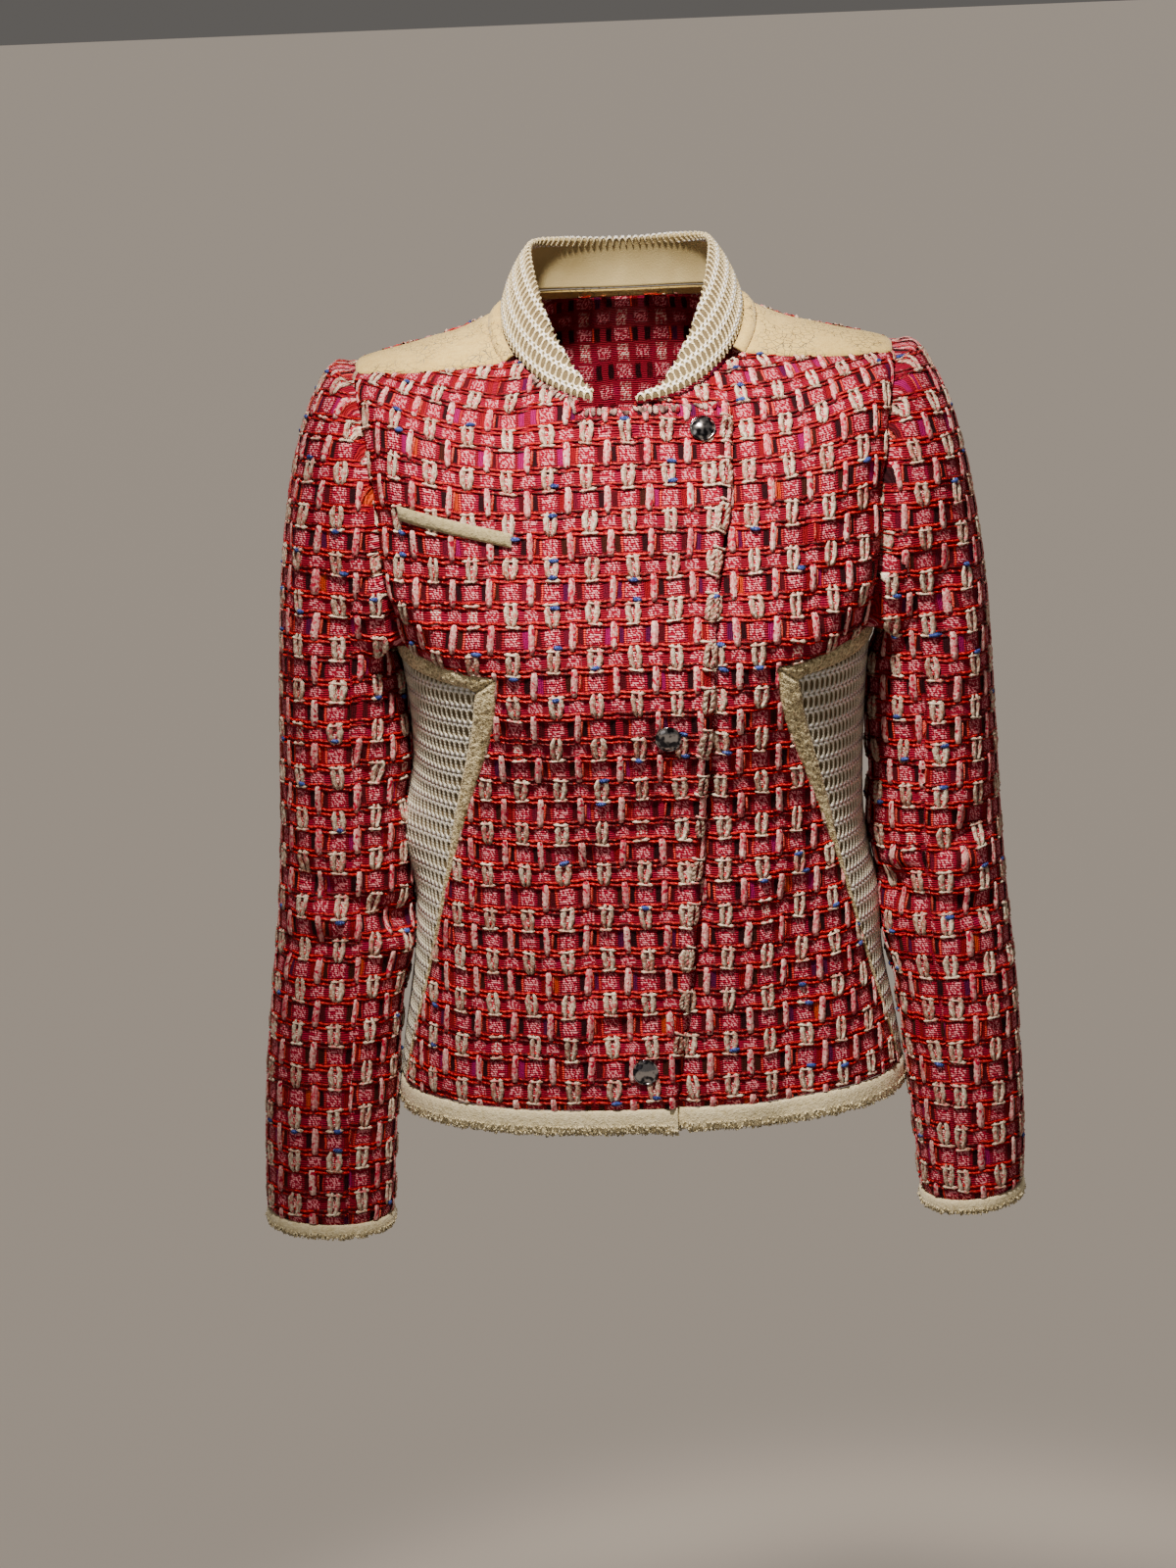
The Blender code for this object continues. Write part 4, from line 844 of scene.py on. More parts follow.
TURNS = sleeve_turns()
FRONT_SPLIT = ARM_OVER + ARM_SIDE * 3 // 4
BACK_SPLIT = ARM_OVER + ARM_SIDE + ARM_UNDER + ARM_SIDE // 4


def sleeve_rings(s_values, sign):
    """Points and normals of the rings at s_values, on the side that sign names."""
    plain = np.array([sleeve_oval(TURNS, s, sign)
                      + (1 - ease(s / ARMHOLE_FADE)) * (ARM_POINTS - sleeve_oval(TURNS, 0.0, sign))
                      for s in s_values])
    around = np.roll(plain, -1, axis=1) - np.roll(plain, 1, axis=1)
    normals = unit(np.cross(around, np.gradient(plain, axis=0)))
    middle = plain.mean(axis=1, keepdims=True)
    normals = normals * np.sign(((plain - middle) * normals).sum(axis=-1).mean())
    share = (1 - ease(np.array(s_values) / SEAM_TURN))[:, None, None]
    normals = unit(normals * (1 - share) + ARM_NORMALS[None] * share)
    girth, length = np.meshgrid(TURNS * SLEEVE_RADIUS, np.array(s_values) * SLEEVE_LENGTH)
    total = np.zeros(plain.shape[:2])
    for side, turn1, s1, turn2, s2, width, rise in CREASES.rows:
        if side == sign:
            total += rise * line_share(girth, length, radians(turn1) * SLEEVE_RADIUS, s1 * SLEEVE_LENGTH,
                                       radians(turn2) * SLEEVE_RADIUS, s2 * SLEEVE_LENGTH, width)
    points = plain + normals * total[..., None]
    flip = np.array([sign, 1, 1])
    return points * flip, normals * flip


SLEEVE_STOPS = np.concatenate([np.linspace(0, 0.1, 14), np.linspace(0.1, 1.0, 106)[1:]])
SLEEVE_LEVEL = 0.32              # s of the ring that keeps its own height in the chart


def sleeve_flat(points, normals, sign):
    """Flat places of one sleeve piece: rows stay level and columns run down the arm.

    Each step between neighbours has a wanted flat step, and conjugate gradients find the places whose
    steps are nearest to the wanted ones."""
    level = int(np.argmin(np.abs(SLEEVE_STOPS - SLEEVE_LEVEL)))
    middle = points.shape[1] // 2
    centre = points.mean(axis=1)
    arm = unit(centre[level] - centre[-1] + np.array([0.0, 0.0, 0.12]))
    up = unit(arm - (normals @ arm)[..., None] * normals)
    right = np.cross(up, normals)

    def wanted(axis):
        step = np.diff(points, axis=axis)
        rest = [unit(np.take(g, range(g.shape[axis] - 1), axis) + np.take(g, range(1, g.shape[axis]), axis))
                for g in (right, up)]
        return np.stack([(step * frame).sum(axis=-1) for frame in rest], axis=-1)

    steps = [wanted(0), wanted(1)]
    sizes = [norm(step, axis=-1, keepdims=True) + 1e-6 for step in steps]
    down = sizes[0].mean(axis=1, keepdims=True)
    pull = [np.minimum(sizes[1].mean(axis=1, keepdims=True)[:-1] / sizes[0], 8.0),
            np.minimum(np.concatenate([down, down[-1:]]) / sizes[1], 8.0)]

    def spread_back(parts):
        total = np.zeros(points.shape[:2] + (2,))
        total[1:] += parts[0]
        total[:-1] -= parts[0]
        total[:, 1:] += parts[1]
        total[:, :-1] -= parts[1]
        return total

    def pulled(grid):
        return spread_back([pull[0] * np.diff(grid, axis=0), pull[1] * np.diff(grid, axis=1)])

    girth, height = flat_chart(points, middle, level, points[level, :, 2])
    flat = np.stack([-girth * sign, height], axis=-1)
    miss = spread_back([pull[0] * steps[0], pull[1] * steps[1]]) - pulled(flat)
    search, size = miss.copy(), (miss * miss).sum()
    for _ in range(900):
        reply = pulled(search)
        share = size / max((search * reply).sum(), 1e-30)
        flat += share * search
        miss -= share * reply
        fresh = (miss * miss).sum()
        if fresh < 1e-14:
            break
        search = miss + fresh / size * search
        size = fresh
    shift = flat[level].mean(axis=0) - np.array([0.0, points[level, :, 2].mean()])
    return flat - shift


print("sleeve rings:", len(SLEEVE_STOPS), "of", len(TURNS), "places")

# %% Upper and under sleeves
def sleeve_shells(side, sign):
    points, normals = sleeve_rings(SLEEVE_STOPS, sign)
    count = len(TURNS)
    runs = {"under": list(range(FRONT_SPLIT, BACK_SPLIT + 1)),
            "upper": list(range(BACK_SPLIT, count)) + list(range(FRONT_SPLIT + 1))}
    made = {}
    for part, columns in runs.items():
        sheet, out = points[:, columns], normals[:, columns].reshape(-1, 3)
        flat = sleeve_flat(sheet, normals[:, columns], sign).reshape(-1, 2)
        faces = grid_faces(len(SLEEVE_STOPS), len(columns))
        level = np.zeros(len(flat))
        made[part] = put_wall(f"cloth_sleeve_{part}_{side}", sheet.reshape(-1, 3), out, faces, flat,
                              level + INSIDE, level + INSIDE + TWEED, True)
    return made


sleeves = {side: sleeve_shells(side, sign) for side, sign in SIDES}
print("sleeve faces:", [len(piece.data.polygons) for piece in sleeves["left"].values()])

# %% [markdown]
# ## A small language for nodes
#
# Materials and yarn layers are node trees. Written as plain sums they stay readable: a Number wraps a
# socket, so adding, multiplying or comparing two of them draws the node for it. Every other kind of node
# comes from one method that takes its type, its settings and what feeds its sockets.

# %% Numbers and sketches
def drawing(operation, swapped=False):
    """An operator that draws one Math node; swapped puts the other value first."""
    def draw(self, other):
        pair = (other, self) if swapped else (self, other)
        return self.sketch.number("ShaderNodeMath", dict(enumerate(pair)), operation=operation)
    return draw


class Number:
    """A socket that can stand in a sum."""

    def __init__(self, sketch, socket):
        self.sketch, self.socket = sketch, socket

    __add__, __radd__ = drawing("ADD"), drawing("ADD", True)
    __sub__, __rsub__ = drawing("SUBTRACT"), drawing("SUBTRACT", True)
    __mul__, __rmul__ = drawing("MULTIPLY"), drawing("MULTIPLY", True)
    __truediv__, __rtruediv__ = drawing("DIVIDE"), drawing("DIVIDE", True)

    def math(self, operation, *others):
        return self.sketch.number("ShaderNodeMath", dict(enumerate((self, *others))), operation=operation)

    def abs(self):
        return self.math("ABSOLUTE")

    def floor(self):
        return self.math("FLOOR")

    def wave(self, length):
        """A ripple from 0 to 1, one crest in each length."""
        return (self * (2 * pi / length)).math("SINE") * 0.5 + 0.5

    def clamp(self):
        return self.math("MAXIMUM", 0.0).math("MINIMUM", 1.0)

    def fade(self, low, high):
        """0 at low and 1 at high, with soft ends; low may be the larger."""
        share = ((self - low) / (high - low)).clamp()
        return share * share * (3.0 - 2.0 * share)

    def off_centre(self, centre, repeat):
        """Signed distance from the nearest of the centres that come once a repeat."""
        shifted = (self - centre) / repeat
        return (shifted - (shifted + 0.5).floor()) * repeat


class Sketch:
    """A node tree; node() draws any node, out() gives one output of it and number() wraps that for sums."""

    def __init__(self, tree):
        self.tree = tree

    def node(self, kind, inputs=None, **settings):
        made = self.tree.nodes.new(kind)
        for name, value in settings.items():
            setattr(made, name, value)
        for key, value in (inputs or {}).items():
            value = value.socket if isinstance(value, Number) else value
            if isinstance(value, bpy.types.NodeSocket):
                self.tree.links.new(value, made.inputs[key])
            elif value is not None:
                made.inputs[key].default_value = value
        return made

    def out(self, kind, inputs=None, output=0, **settings):
        return self.node(kind, inputs, **settings).outputs[output]

    def number(self, kind, inputs=None, output=0, **settings):
        return Number(self, self.out(kind, inputs, output, **settings))

    def join(self, x, y, z=0.0):
        return self.out("ShaderNodeCombineXYZ", {0: x, 1: y, 2: z})

    def split(self, vector):
        return [Number(self, socket) for socket in self.node("ShaderNodeSeparateXYZ", {0: vector}).outputs]


def srgb(red, green, blue):
    """A screen colour from 0 to 255 as linear light."""
    return tuple((c / 255 / 12.92) if c <= 10 else ((c / 255 + 0.055) / 1.055) ** 2.4
                 for c in (red, green, blue)) + (1.0,)


print("operators of a Number:", [name for name in vars(Number) if name.startswith("__r")])

# %% Finishes
class Finish(Sketch):
    """A material written as sums, ending in one Principled shader."""

    def __init__(self, name, **constants):
        self.material = bpy.data.materials.new(name)
        self.material.use_nodes = True
        super().__init__(self.material.node_tree)
        self.shader = self.tree.nodes["Principled BSDF"]
        for title, value in constants.items():
            self.shader.inputs[title.replace("_", " ")].default_value = value

    def spot(self):
        return self.out("ShaderNodeTexCoord", output="Object")

    def chart(self, name):
        return self.out("ShaderNodeUVMap", uv_map=name)

    def spread(self, vector, scale, detail=2.0, kind="ShaderNodeTexNoise", **settings):
        """A noise value over a vector, about 0 to 1."""
        inputs = {"Vector": vector, "Scale": scale}
        if kind == "ShaderNodeTexNoise":
            inputs["Detail"] = detail
        return self.number(kind, inputs, **settings)

    def mix(self, share, first, second):
        """Screen colours, as three whole numbers, or sockets."""
        first, second = (srgb(*part) if isinstance(part, tuple) else part for part in (first, second))
        return self.out("ShaderNodeMix", {0: share, 6: first, 7: second}, 2, data_type="RGBA")

    def chance(self, x, y):
        """A random number for each pair of whole numbers."""
        return self.number("ShaderNodeTexWhiteNoise", {"Vector": self.join(x, y)}, "Value",
                           noise_dimensions="2D")

    def end(self, colour, roughness=None, height=None, bump=0.001, strength=1.0):
        feeds = {"Base Color": colour}
        if roughness is not None:
            feeds["Roughness"] = roughness.socket
        if height is not None:
            inputs = {"Height": height, "Distance": bump, "Strength": strength}
            feeds["Normal"] = self.out("ShaderNodeBump", inputs)
        for title, socket in feeds.items():
            self.tree.links.new(socket, self.shader.inputs[title])
        return self.material


def paint(finish, *pieces):
    for piece in pieces:
        piece.data.materials.append(finish)


print("nodes can be drawn")

# %% [markdown]
# ## The weave's repeat
#
# The tweed repeats every 26.4 mm across and 29.6 mm up. Two columns and two rows make one repeat. Where
# the first column meets the first row lies a pair of bowed cream yarns; the second column has a long pale
# slub in the second row, with a bright ribbon beside it. Pairs of red cords part the rows. The ground under
# them is finely ribbed crimson with speckled pink blocks and small dark boxes, too flat to need raising.

# %% Sizes of the repeat, in metres
REPEAT_X, REPEAT_Y = 0.0264, 0.0296
ROW_ONE, ROW_TWO = -0.0064, -0.0212      # middles of the two rows
CORDS_ONE, CORDS_TWO = 0.0, -0.0128      # middles of the cord pairs
CORD_GAP = 0.0034
RIB, UPRIGHT = 0.00145, 0.0011           # fine ribs across the ground, and fine lines up its boxes
SWAY, SWAY_SCALE = 0.0044, 22.0          # how far, and how many to the metre, the rows and columns stray


def sway(sketch, place):
    """The slow straying of columns and rows, the same for the ground and for the yarns on it."""
    drift = sketch.out("ShaderNodeTexNoise", {"Vector": place, "Scale": SWAY_SCALE, "Detail": 1.0}, "Color")
    return [(part - 0.5) * SWAY for part in sketch.split(drift)[:2]]


def tweed_ground():
    f = Finish("tweed_ground", Roughness=0.85, Specular_IOR_Level=0.2)
    uv = f.chart("cloth")
    raw_x, raw_y, _ = f.split(uv)
    wide_x, wide_y = sway(f, uv)
    near = f.split(f.out("ShaderNodeTexNoise", {"Vector": uv, "Scale": 150.0, "Detail": 1.0}, "Color"))
    x = raw_x - wide_x + (near[0] - 0.5) * 0.0016
    y = raw_y - wide_y + (near[1] - 0.5) * 0.0016
    from_a, from_b = x.off_centre(0.0, REPEAT_X), x.off_centre(REPEAT_X / 2, REPEAT_X)
    row_one, row_two = y.off_centre(ROW_ONE, REPEAT_Y), y.off_centre(ROW_TWO, REPEAT_Y)
    cords = y.off_centre(CORDS_ONE, REPEAT_Y).abs().math("MINIMUM", y.off_centre(CORDS_TWO, REPEAT_Y).abs())
    in_two = row_two.abs().fade(0.0066, 0.006)
    ribs, upright = y.wave(RIB), x.wave(UPRIGHT)
    fine = f.spread(uv, 900.0)
    speckle = f.spread(f.join(x + y * 0.45, y * 0.5), 820.0, 0.0).fade(0.49, 0.57)
    cell = f.chance(((x + REPEAT_X * 0.25) / (REPEAT_X / 2)).floor(), (raw_y / REPEAT_Y).floor())
    patchy = f.spread(uv, 60.0, 1.0)

    crimson = f.mix(ribs * (0.35 + fine * 0.9), (92, 0, 22), (182, 0, 46))
    crimson = f.mix((patchy - 0.5).clamp() * 1.6, crimson, (172, 0, 78))
    pink = f.mix(speckle, (166, 0, 46), (255, 156, 168))
    block_a = from_a.abs().fade(0.0056, 0.0042) * row_two.abs().fade(0.0058, 0.0044)
    block_b = from_b.abs().fade(0.0052, 0.0038) * row_one.abs().fade(0.006, 0.0046)
    under_oval = from_a.abs().fade(0.004, 0.003) * row_one.abs().fade(0.0075, 0.0065)
    block = block_a.math("MAXIMUM", block_b)
    colour = f.mix(block * (0.62 + 0.38 * ribs), crimson, pink)
    colour = f.mix(under_oval, colour, f.mix(speckle, (196, 44, 70), (255, 214, 204)))

    box = (from_b.abs() - 0.0041).abs().fade(0.0021, 0.0016) * in_two
    box_x = ((x - REPEAT_X / 2) / (REPEAT_X / 2)).floor()
    pick = f.chance(box_x, (y / REPEAT_Y).floor() * 3.0 + 7.0)
    palette = f.node("ShaderNodeValToRGB", {0: pick})
    palette.color_ramp.interpolation = "CONSTANT"
    ramp = palette.color_ramp.elements
    tones = ((0.0, (46, 0, 10)), (0.36, (92, 0, 18)), (0.54, (96, 0, 70)), (0.62, (176, 0, 104)),
             (0.68, (160, 2, 24)), (0.84, (70, 22, 8)), (0.93, (224, 70, 16)), (0.96, (120, 8, 44)))
    while len(ramp) < len(tones):
        ramp.new(0.5)
    for element, (at, tone) in zip(ramp, tones):
        element.position, element.color = at, srgb(*tone)
    colour = f.mix(box, colour, f.mix(upright * 0.65, palette.outputs[0], (24, 0, 7)))
    line = (from_a.abs() - 0.0062).abs().fade(0.0009, 0.0005) * in_two
    colour = f.mix(line * cell.fade(0.35, 0.8) * (x - REPEAT_X).off_centre(0.0, REPEAT_X).fade(0.001, -0.001),
                   colour, (240, 60, 50))
    # Painted shade: the ground is darkened beside and under the cords, where they shade it.
    painted_cord_shade = cords.fade(0.0038, 0.0028)
    colour = f.mix(painted_cord_shade * 0.6, colour, (130, 0, 28))
    height = ribs * 0.35 * (1.0 - box) + upright * 0.25 * box + block * 0.5 + fine * 0.5 + line * 0.5
    return f.end(colour, None, height, 0.0016)


TWEED_GROUND = tweed_ground()
print("ground repeat", REPEAT_X * 1000, "x", REPEAT_Y * 1000, "mm")

# %% [markdown]
# ## Yarns that stand up from the ground
#
# A yarn is a swept ring: its path lies in the chart, its middle is raised and its ends dive under the
# cords. Each is modelled once, lying flat, and laid on the cloth wherever its repeat calls for it.

# %% Strands
def turned_away(verts, faces, k, middle):
    """The faces, turned so that face k looks away from the middle."""
    a, b, c = (verts[i] for i in faces[k][:3])
    outward = np.dot(np.cross(b - a, c - a), (a + c) / 2 - middle)
    return faces if outward > 0 else [face[::-1] for face in faces]


def strand(path, wide, high, sides, closed=True):
    """Vertices, faces and (round, along) places of a strand; wide and high are half sizes at each ring."""
    path, wide, high = (np.asarray(part, dtype=float) for part in (path, wide, high))
    along = unit(np.gradient(path, axis=0))
    aside = unit(np.column_stack([along[:, 1], -along[:, 0], np.zeros(len(path))]))
    above = unit(np.cross(aside, along))
    above = np.where(above[:, 2:3] < 0, -above, above)
    turn = np.arange(sides) / sides * 2 * pi + pi / 2
    rings = (path[:, None] + np.cos(turn)[:, None] * aside[:, None] * wide[:, None, None]
             + np.sin(turn)[:, None] * above[:, None] * high[:, None, None])
    count, run = len(path), run_along(path)
    verts = rings.reshape(-1, 3)
    flat = np.column_stack([np.tile(np.arange(sides) / sides, count), np.repeat(run, sides)])
    faces = []
    for ring in range(count - 1):
        for k in range(sides):
            a, b = ring * sides + k, ring * sides + (k + 1) % sides
            faces.append((a, b, b + sides, a + sides))
    if closed:
        verts = np.vstack([verts, path[0], path[-1]])
        flat = np.vstack([flat, (0.5, 0.0), (0.5, run[-1])])
        last, tip = count * sides, (count - 1) * sides
        faces += [(last, (k + 1) % sides, k) for k in range(sides)]
        faces += [(last + 1, tip + k, tip + (k + 1) % sides) for k in range(sides)]
    return verts, turned_away(verts, faces, 0, (path[0] + path[1]) / 2), flat


def yarn_object(name, strands):
    """Strands as one mesh; its map "yarn" holds the place round and along each strand."""
    points, quads, places = zip(*strands)
    starts = np.cumsum([0] + [len(part) for part in points])
    faces = [[i + start for i in face] for start, part in zip(starts, quads) for face in part]
    piece = put_mesh(name, np.vstack(points), faces, np.vstack(places), "yarn")
    piece.hide_render = True
    return piece


print("a strand of 3 rings and 4 sides has", len(strand(np.eye(3), np.ones(3), np.ones(3), 4)[1]), "faces")

# %% The yarns of one repeat, each lying flat round its own place
def one_yarn(name, shape, width, profile, flatness, sides):
    """shape gives (across, along, up) at t from -1 to 1, and profile the width's share at each ring."""
    wide = width * np.array(profile)
    path = np.column_stack(shape(np.linspace(-1, 1, len(profile))))
    return yarn_object(name, [strand(path, wide, wide * flatness, sides)])


def oval_yarns():
    """A pair of cream yarns that bow away from each other."""
    t = np.linspace(-1, 1, 8)
    made = []
    for side in (-1, 1):
        bow = side * (0.0013 + 0.0015 * (1 - t ** 2) ** 0.7 + 0.0004 * t)
        path = np.column_stack([bow, 0.0078 * t, 0.0012 - 0.0007 * t ** 4])
        lump = 1 + 0.2 * np.sin(t * 8 + side * 1.3)
        wide = (0.00188 - 0.0005 * t ** 2) * lump * np.array([0.7, 1, 1, 1, 1, 1, 1, 0.7])
        made.append(strand(path, wide, wide * 0.62, 5))
    return yarn_object("yarn_oval", made)


def cord_yarns():
    """The pair of cords between two rows, one repeat long, with open ends that meet the next pair."""
    x = np.linspace(-REPEAT_X / 2, REPEAT_X / 2, 10)
    turn = x / REPEAT_X * 2
    made = []
    for side, phase in ((-1, 0.0), (1, 1.2)):
        path = np.column_stack([x, side * CORD_GAP / 2 + 0.0003 * np.sin(turn * 2 * pi + phase),
                                0.00036 - 0.0006 * np.cos(turn * 2 * pi)])
        wide = 0.00088 * (1 + 0.16 * np.cos(turn * 3 * pi + phase))
        wide[-1] = wide[0]
        made.append(strand(path, wide, wide * 0.85, 4, closed=False))
    return yarn_object("yarn_cords", made)


def yarn_finish(name, low, high, streak, tone_share=0.35, roughness=0.75, coat=0.0, grain=1500.0,
                twist=900.0):
    """low and high are its tones, mixed by chance and by painted ply shade; streak colours its thin lines."""
    f = Finish(name, Roughness=roughness, Specular_IOR_Level=0.2, Coat_Weight=coat, Coat_Roughness=0.3)
    around, along, _ = f.split(f.chart("yarn"))
    tone = f.number("ShaderNodeAttribute", output=2, attribute_name="tone")
    spot = f.spot()
    grains = f.spread(spot, grain, 1.5)
    ply = (around * 3.0 + along * twist).wave(1.0)
    patch = f.spread(spot, 75.0, 1.0) - 0.5
    # ply paints shade in the grooves between the plies and light on their crests; grains, patch and tone vary
    # the tone by chance.
    share = (grains - 0.5) * 1.9 + 0.36 + ply * 0.28 + patch * 0.9 + (tone - 0.5) * tone_share
    colour = f.mix(f.spread(spot, grain * 0.7, 0.0).fade(0.6, 0.68), f.mix(share, low, high), streak)
    return f.end(colour, None, ply * 0.7 + grains * 0.9, 0.0007)


CREAM = yarn_finish("cream_yarn", (170, 100, 80), (255, 246, 222), (226, 120, 124), 0.3, grain=620.0,
                    twist=70.0)
PALE = yarn_finish("pale_slub", (206, 54, 84), (255, 214, 204), (190, 6, 56), 0.35, grain=560.0, twist=60.0)
CORAL = yarn_finish("coral_ribbon", (208, 24, 30), (246, 92, 78), (255, 140, 116), 0.8, 0.5)
RED = yarn_finish("red_cord", (92, 0, 14), (206, 8, 20), (234, 30, 30), 1.2, 0.5, 0.1, grain=600.0,
                  twist=300.0)
BLUE = yarn_finish("blue_slub", (24, 34, 92), (74, 98, 190), (110, 130, 210), 0.6, 0.6)
YARNS = {
    "oval": (oval_yarns(), CREAM),
    "slub": (one_yarn("yarn_slub", lambda t: (0.0002 * np.sin(t * 3) - 0.0003, 0.009 * t,
                                              0.0009 - 0.0005 * t ** 4),
                      0.0024, (0.8, 0.98, 1.1, 0.94, 1.08, 0.92, 1.0, 0.7), 0.38, 6), PALE),
    "ribbon": (one_yarn("yarn_ribbon", lambda t: (0.0027 + 0.0002 * t, 0.0062 * t, 0.0005 - 0.0007 * t ** 2),
                        0.00085, (0.6, 1, 1, 1, 0.6), 0.8, 4), CORAL),
    "cords": (cord_yarns(), RED),
    "float": (one_yarn("yarn_float", lambda t: (0.0052 * t, 0.0003 * t ** 2, 0.0013 - 0.0008 * t ** 2),
                       0.00098, (0.6, 1.5, 0.7, 0.7, 1.5, 0.6), 1.0, 4), CREAM),
    "blue": (one_yarn("yarn_blue", lambda t: (0.003 * t, 0 * t, 0.0017 - 0.0006 * t ** 2),
                      0.0017, (0.55, 1.0, 0.95, 0.5), 0.75, 5), BLUE),
}
print("triangles of a yarn:", {name: triangles(piece) for name, (piece, _) in YARNS.items()})

# %% [markdown]
# ## Laying the yarns
#
# One tree lays any yarn on any piece. It draws the lattice of the repeat in the chart, puts the yarn on
# each of its points with small changes, turns the copies into one mesh, and then carries every vertex from
# the chart to the cloth: the flat place says where, and the height says how far out.

# %% The laying tree
LAY_SIZES = (("Piece", "Object", None), ("Yarn", "Object", None), ("Repeat across", "Float", REPEAT_X),
             ("Repeat down", "Float", REPEAT_Y), ("Columns", "Int", 3), ("Rows", "Int", 3),
             ("Middle across", "Float", 0.0), ("Middle down", "Float", 0.0), ("Share kept", "Float", 1.0),
             ("Shift", "Float", 0.0004), ("Lean", "Float", 0.06), ("Size change", "Float", 0.08),
             ("Sway", "Float", 1.0), ("Seed", "Int", 1), ("Finish", "Material", None))


def laying_tree():
    tree = bpy.data.node_groups.new("lay_yarns", "GeometryNodeTree")
    tree.is_modifier = True
    for title, kind, value in (("Geometry", "Geometry", None), *LAY_SIZES):
        socket = tree.interface.new_socket(name=title, in_out="INPUT", socket_type="NodeSocket" + kind)
        if value is not None:
            socket.default_value = value
    tree.interface.new_socket(name="Geometry", in_out="OUTPUT", socket_type="NodeSocketGeometry")
    s = Sketch(tree)
    given = s.node("NodeGroupInput").outputs
    size = {title: Number(s, given[title]) for title, _, _ in LAY_SIZES}
    seed = size["Seed"]
    here = s.out("GeometryNodeInputPosition")

    def draw(low, high, order):
        """A random number for each copy; order tells the draws apart."""
        return s.number("FunctionNodeRandomValue", {2: low, 3: high, "Seed": seed + order}, 1,
                        data_type="FLOAT")

    def vector(operation, first, second):
        return s.out("ShaderNodeVectorMath", {0: first, "Scale" if operation == "SCALE" else 1: second},
                     operation=operation)

    def moved(points, how, vectors):
        return s.out("GeometryNodeSetPosition", {"Geometry": points, how: vectors})

    # The lattice, each place strayed a little.
    lattice = s.out("GeometryNodeMeshGrid", {
        "Size X": size["Repeat across"] * (size["Columns"] - 1),
        "Size Y": size["Repeat down"] * (size["Rows"] - 1),
        "Vertices X": size["Columns"], "Vertices Y": size["Rows"]})
    jump = s.out("FunctionNodeRandomValue", {"Min": (-1, -1, 0), "Max": (1, 1, 0), "Seed": seed},
                 data_type="FLOAT_VECTOR")
    middle = s.join(size["Middle across"], size["Middle down"])
    offset = vector("ADD", vector("SCALE", jump, size["Shift"]), middle)
    strayed = s.join(*(part * size["Sway"] for part in sway(s, here)))
    places = moved(moved(lattice, "Offset", offset), "Offset", strayed)

    # A copy of the yarn on each place, turned, stretched and toned by chance.
    kept = s.out("FunctionNodeRandomValue", {"Probability": size["Share kept"], "Seed": seed + 11}, 3,
                 data_type="BOOLEAN")
    lean = draw(size["Lean"] * -1.0, size["Lean"], 12)
    grow = draw(-1.0, 1.0, 13) * size["Size change"]
    copies = s.out("GeometryNodeInstanceOnPoints", {
        "Points": places, "Selection": kept, "Rotation": s.join(0.0, 0.0, lean),
        "Scale": s.join(grow + 1.0, 1.0 - grow * 0.4, 1.0),
        "Instance": s.out("GeometryNodeObjectInfo", {"Object": given["Yarn"]}, "Geometry",
                          transform_space="ORIGINAL")})
    named = s.out("GeometryNodeStoreNamedAttribute", {
        "Geometry": copies, "Name": "tone", "Value": draw(0.0, 1.0, 14)},
        data_type="FLOAT", domain="INSTANCE")
    whole = s.out("GeometryNodeMergeByDistance", {
        "Geometry": s.out("GeometryNodeRealizeInstances", {0: named}), "Distance": 0.00002})

    # From the chart to the cloth: the flat place says where, and the height says how far out.
    cloth = s.out("GeometryNodeObjectInfo", {"Object": given["Piece"]}, "Geometry",
                  transform_space="ORIGINAL")
    chart, outward = (s.out("GeometryNodeInputNamedAttribute", {"Name": name}, data_type="FLOAT_VECTOR")
                      for name in ("cloth", "outward"))
    spot, normal = (s.node("GeometryNodeSampleUVSurface", {
        "Mesh": cloth, "Value": value, "UV Map": chart, "Sample UV": here},
        data_type="FLOAT_VECTOR").outputs for value in (here, outward))
    missed = s.out("FunctionNodeBooleanMath", {0: spot[1]}, operation="NOT")
    on_cloth = s.out("GeometryNodeDeleteGeometry", {"Geometry": whole, "Selection": missed}, domain="POINT")
    raised = vector("SCALE", normal[0], s.split(here)[2])
    laid = moved(on_cloth, "Position", vector("ADD", spot[0], raised))
    plain = s.out("GeometryNodeRealizeInstances", {0: laid})
    finished = s.out("GeometryNodeSetMaterial", {"Geometry": plain, "Material": given["Finish"]})
    s.node("NodeGroupOutput", {0: finished})
    return tree


LAY = laying_tree()
SOCKETS = {item.name: item.identifier for item in LAY.interface.items_tree if item.in_out == "INPUT"}
print("the laying tree has", len(LAY.nodes), "nodes")

# %% Laying one yarn on one piece
def lay(name, piece, yarn, finish, middle, span, **sizes):
    """A plain mesh of one yarn laid on one piece; middle and span give the lattice."""
    holder = put(name, bpy.data.meshes.new(name))
    modifier = holder.modifiers.new("lay", "NODES")
    modifier.node_group = LAY
    values = {"Piece": piece, "Yarn": yarn, "Finish": finish, "Columns": span[0], "Rows": span[1],
              "Middle across": middle[0], "Middle down": middle[1]}
    values.update({title.replace("_", " "): value for title, value in sizes.items()})
    for title, value in values.items():
        modifier[SOCKETS[title]] = value
    holder.update_tag()
    graph = bpy.context.evaluated_depsgraph_get()
    mesh = bpy.data.meshes.new_from_object(holder.evaluated_get(graph), depsgraph=graph)
    holder.modifiers.remove(modifier)
    holder.data = mesh
    return holder


def joined(name, parts):
    parts = [part for part in parts if len(part.data.polygons)]
    with bpy.context.temp_override(active_object=parts[0], object=parts[0], selected_objects=parts,
                                   selected_editable_objects=parts):
        bpy.ops.object.join()
    parts[0].name = parts[0].data.name = name
    parts[0].data.shade_smooth()
    return parts[0]


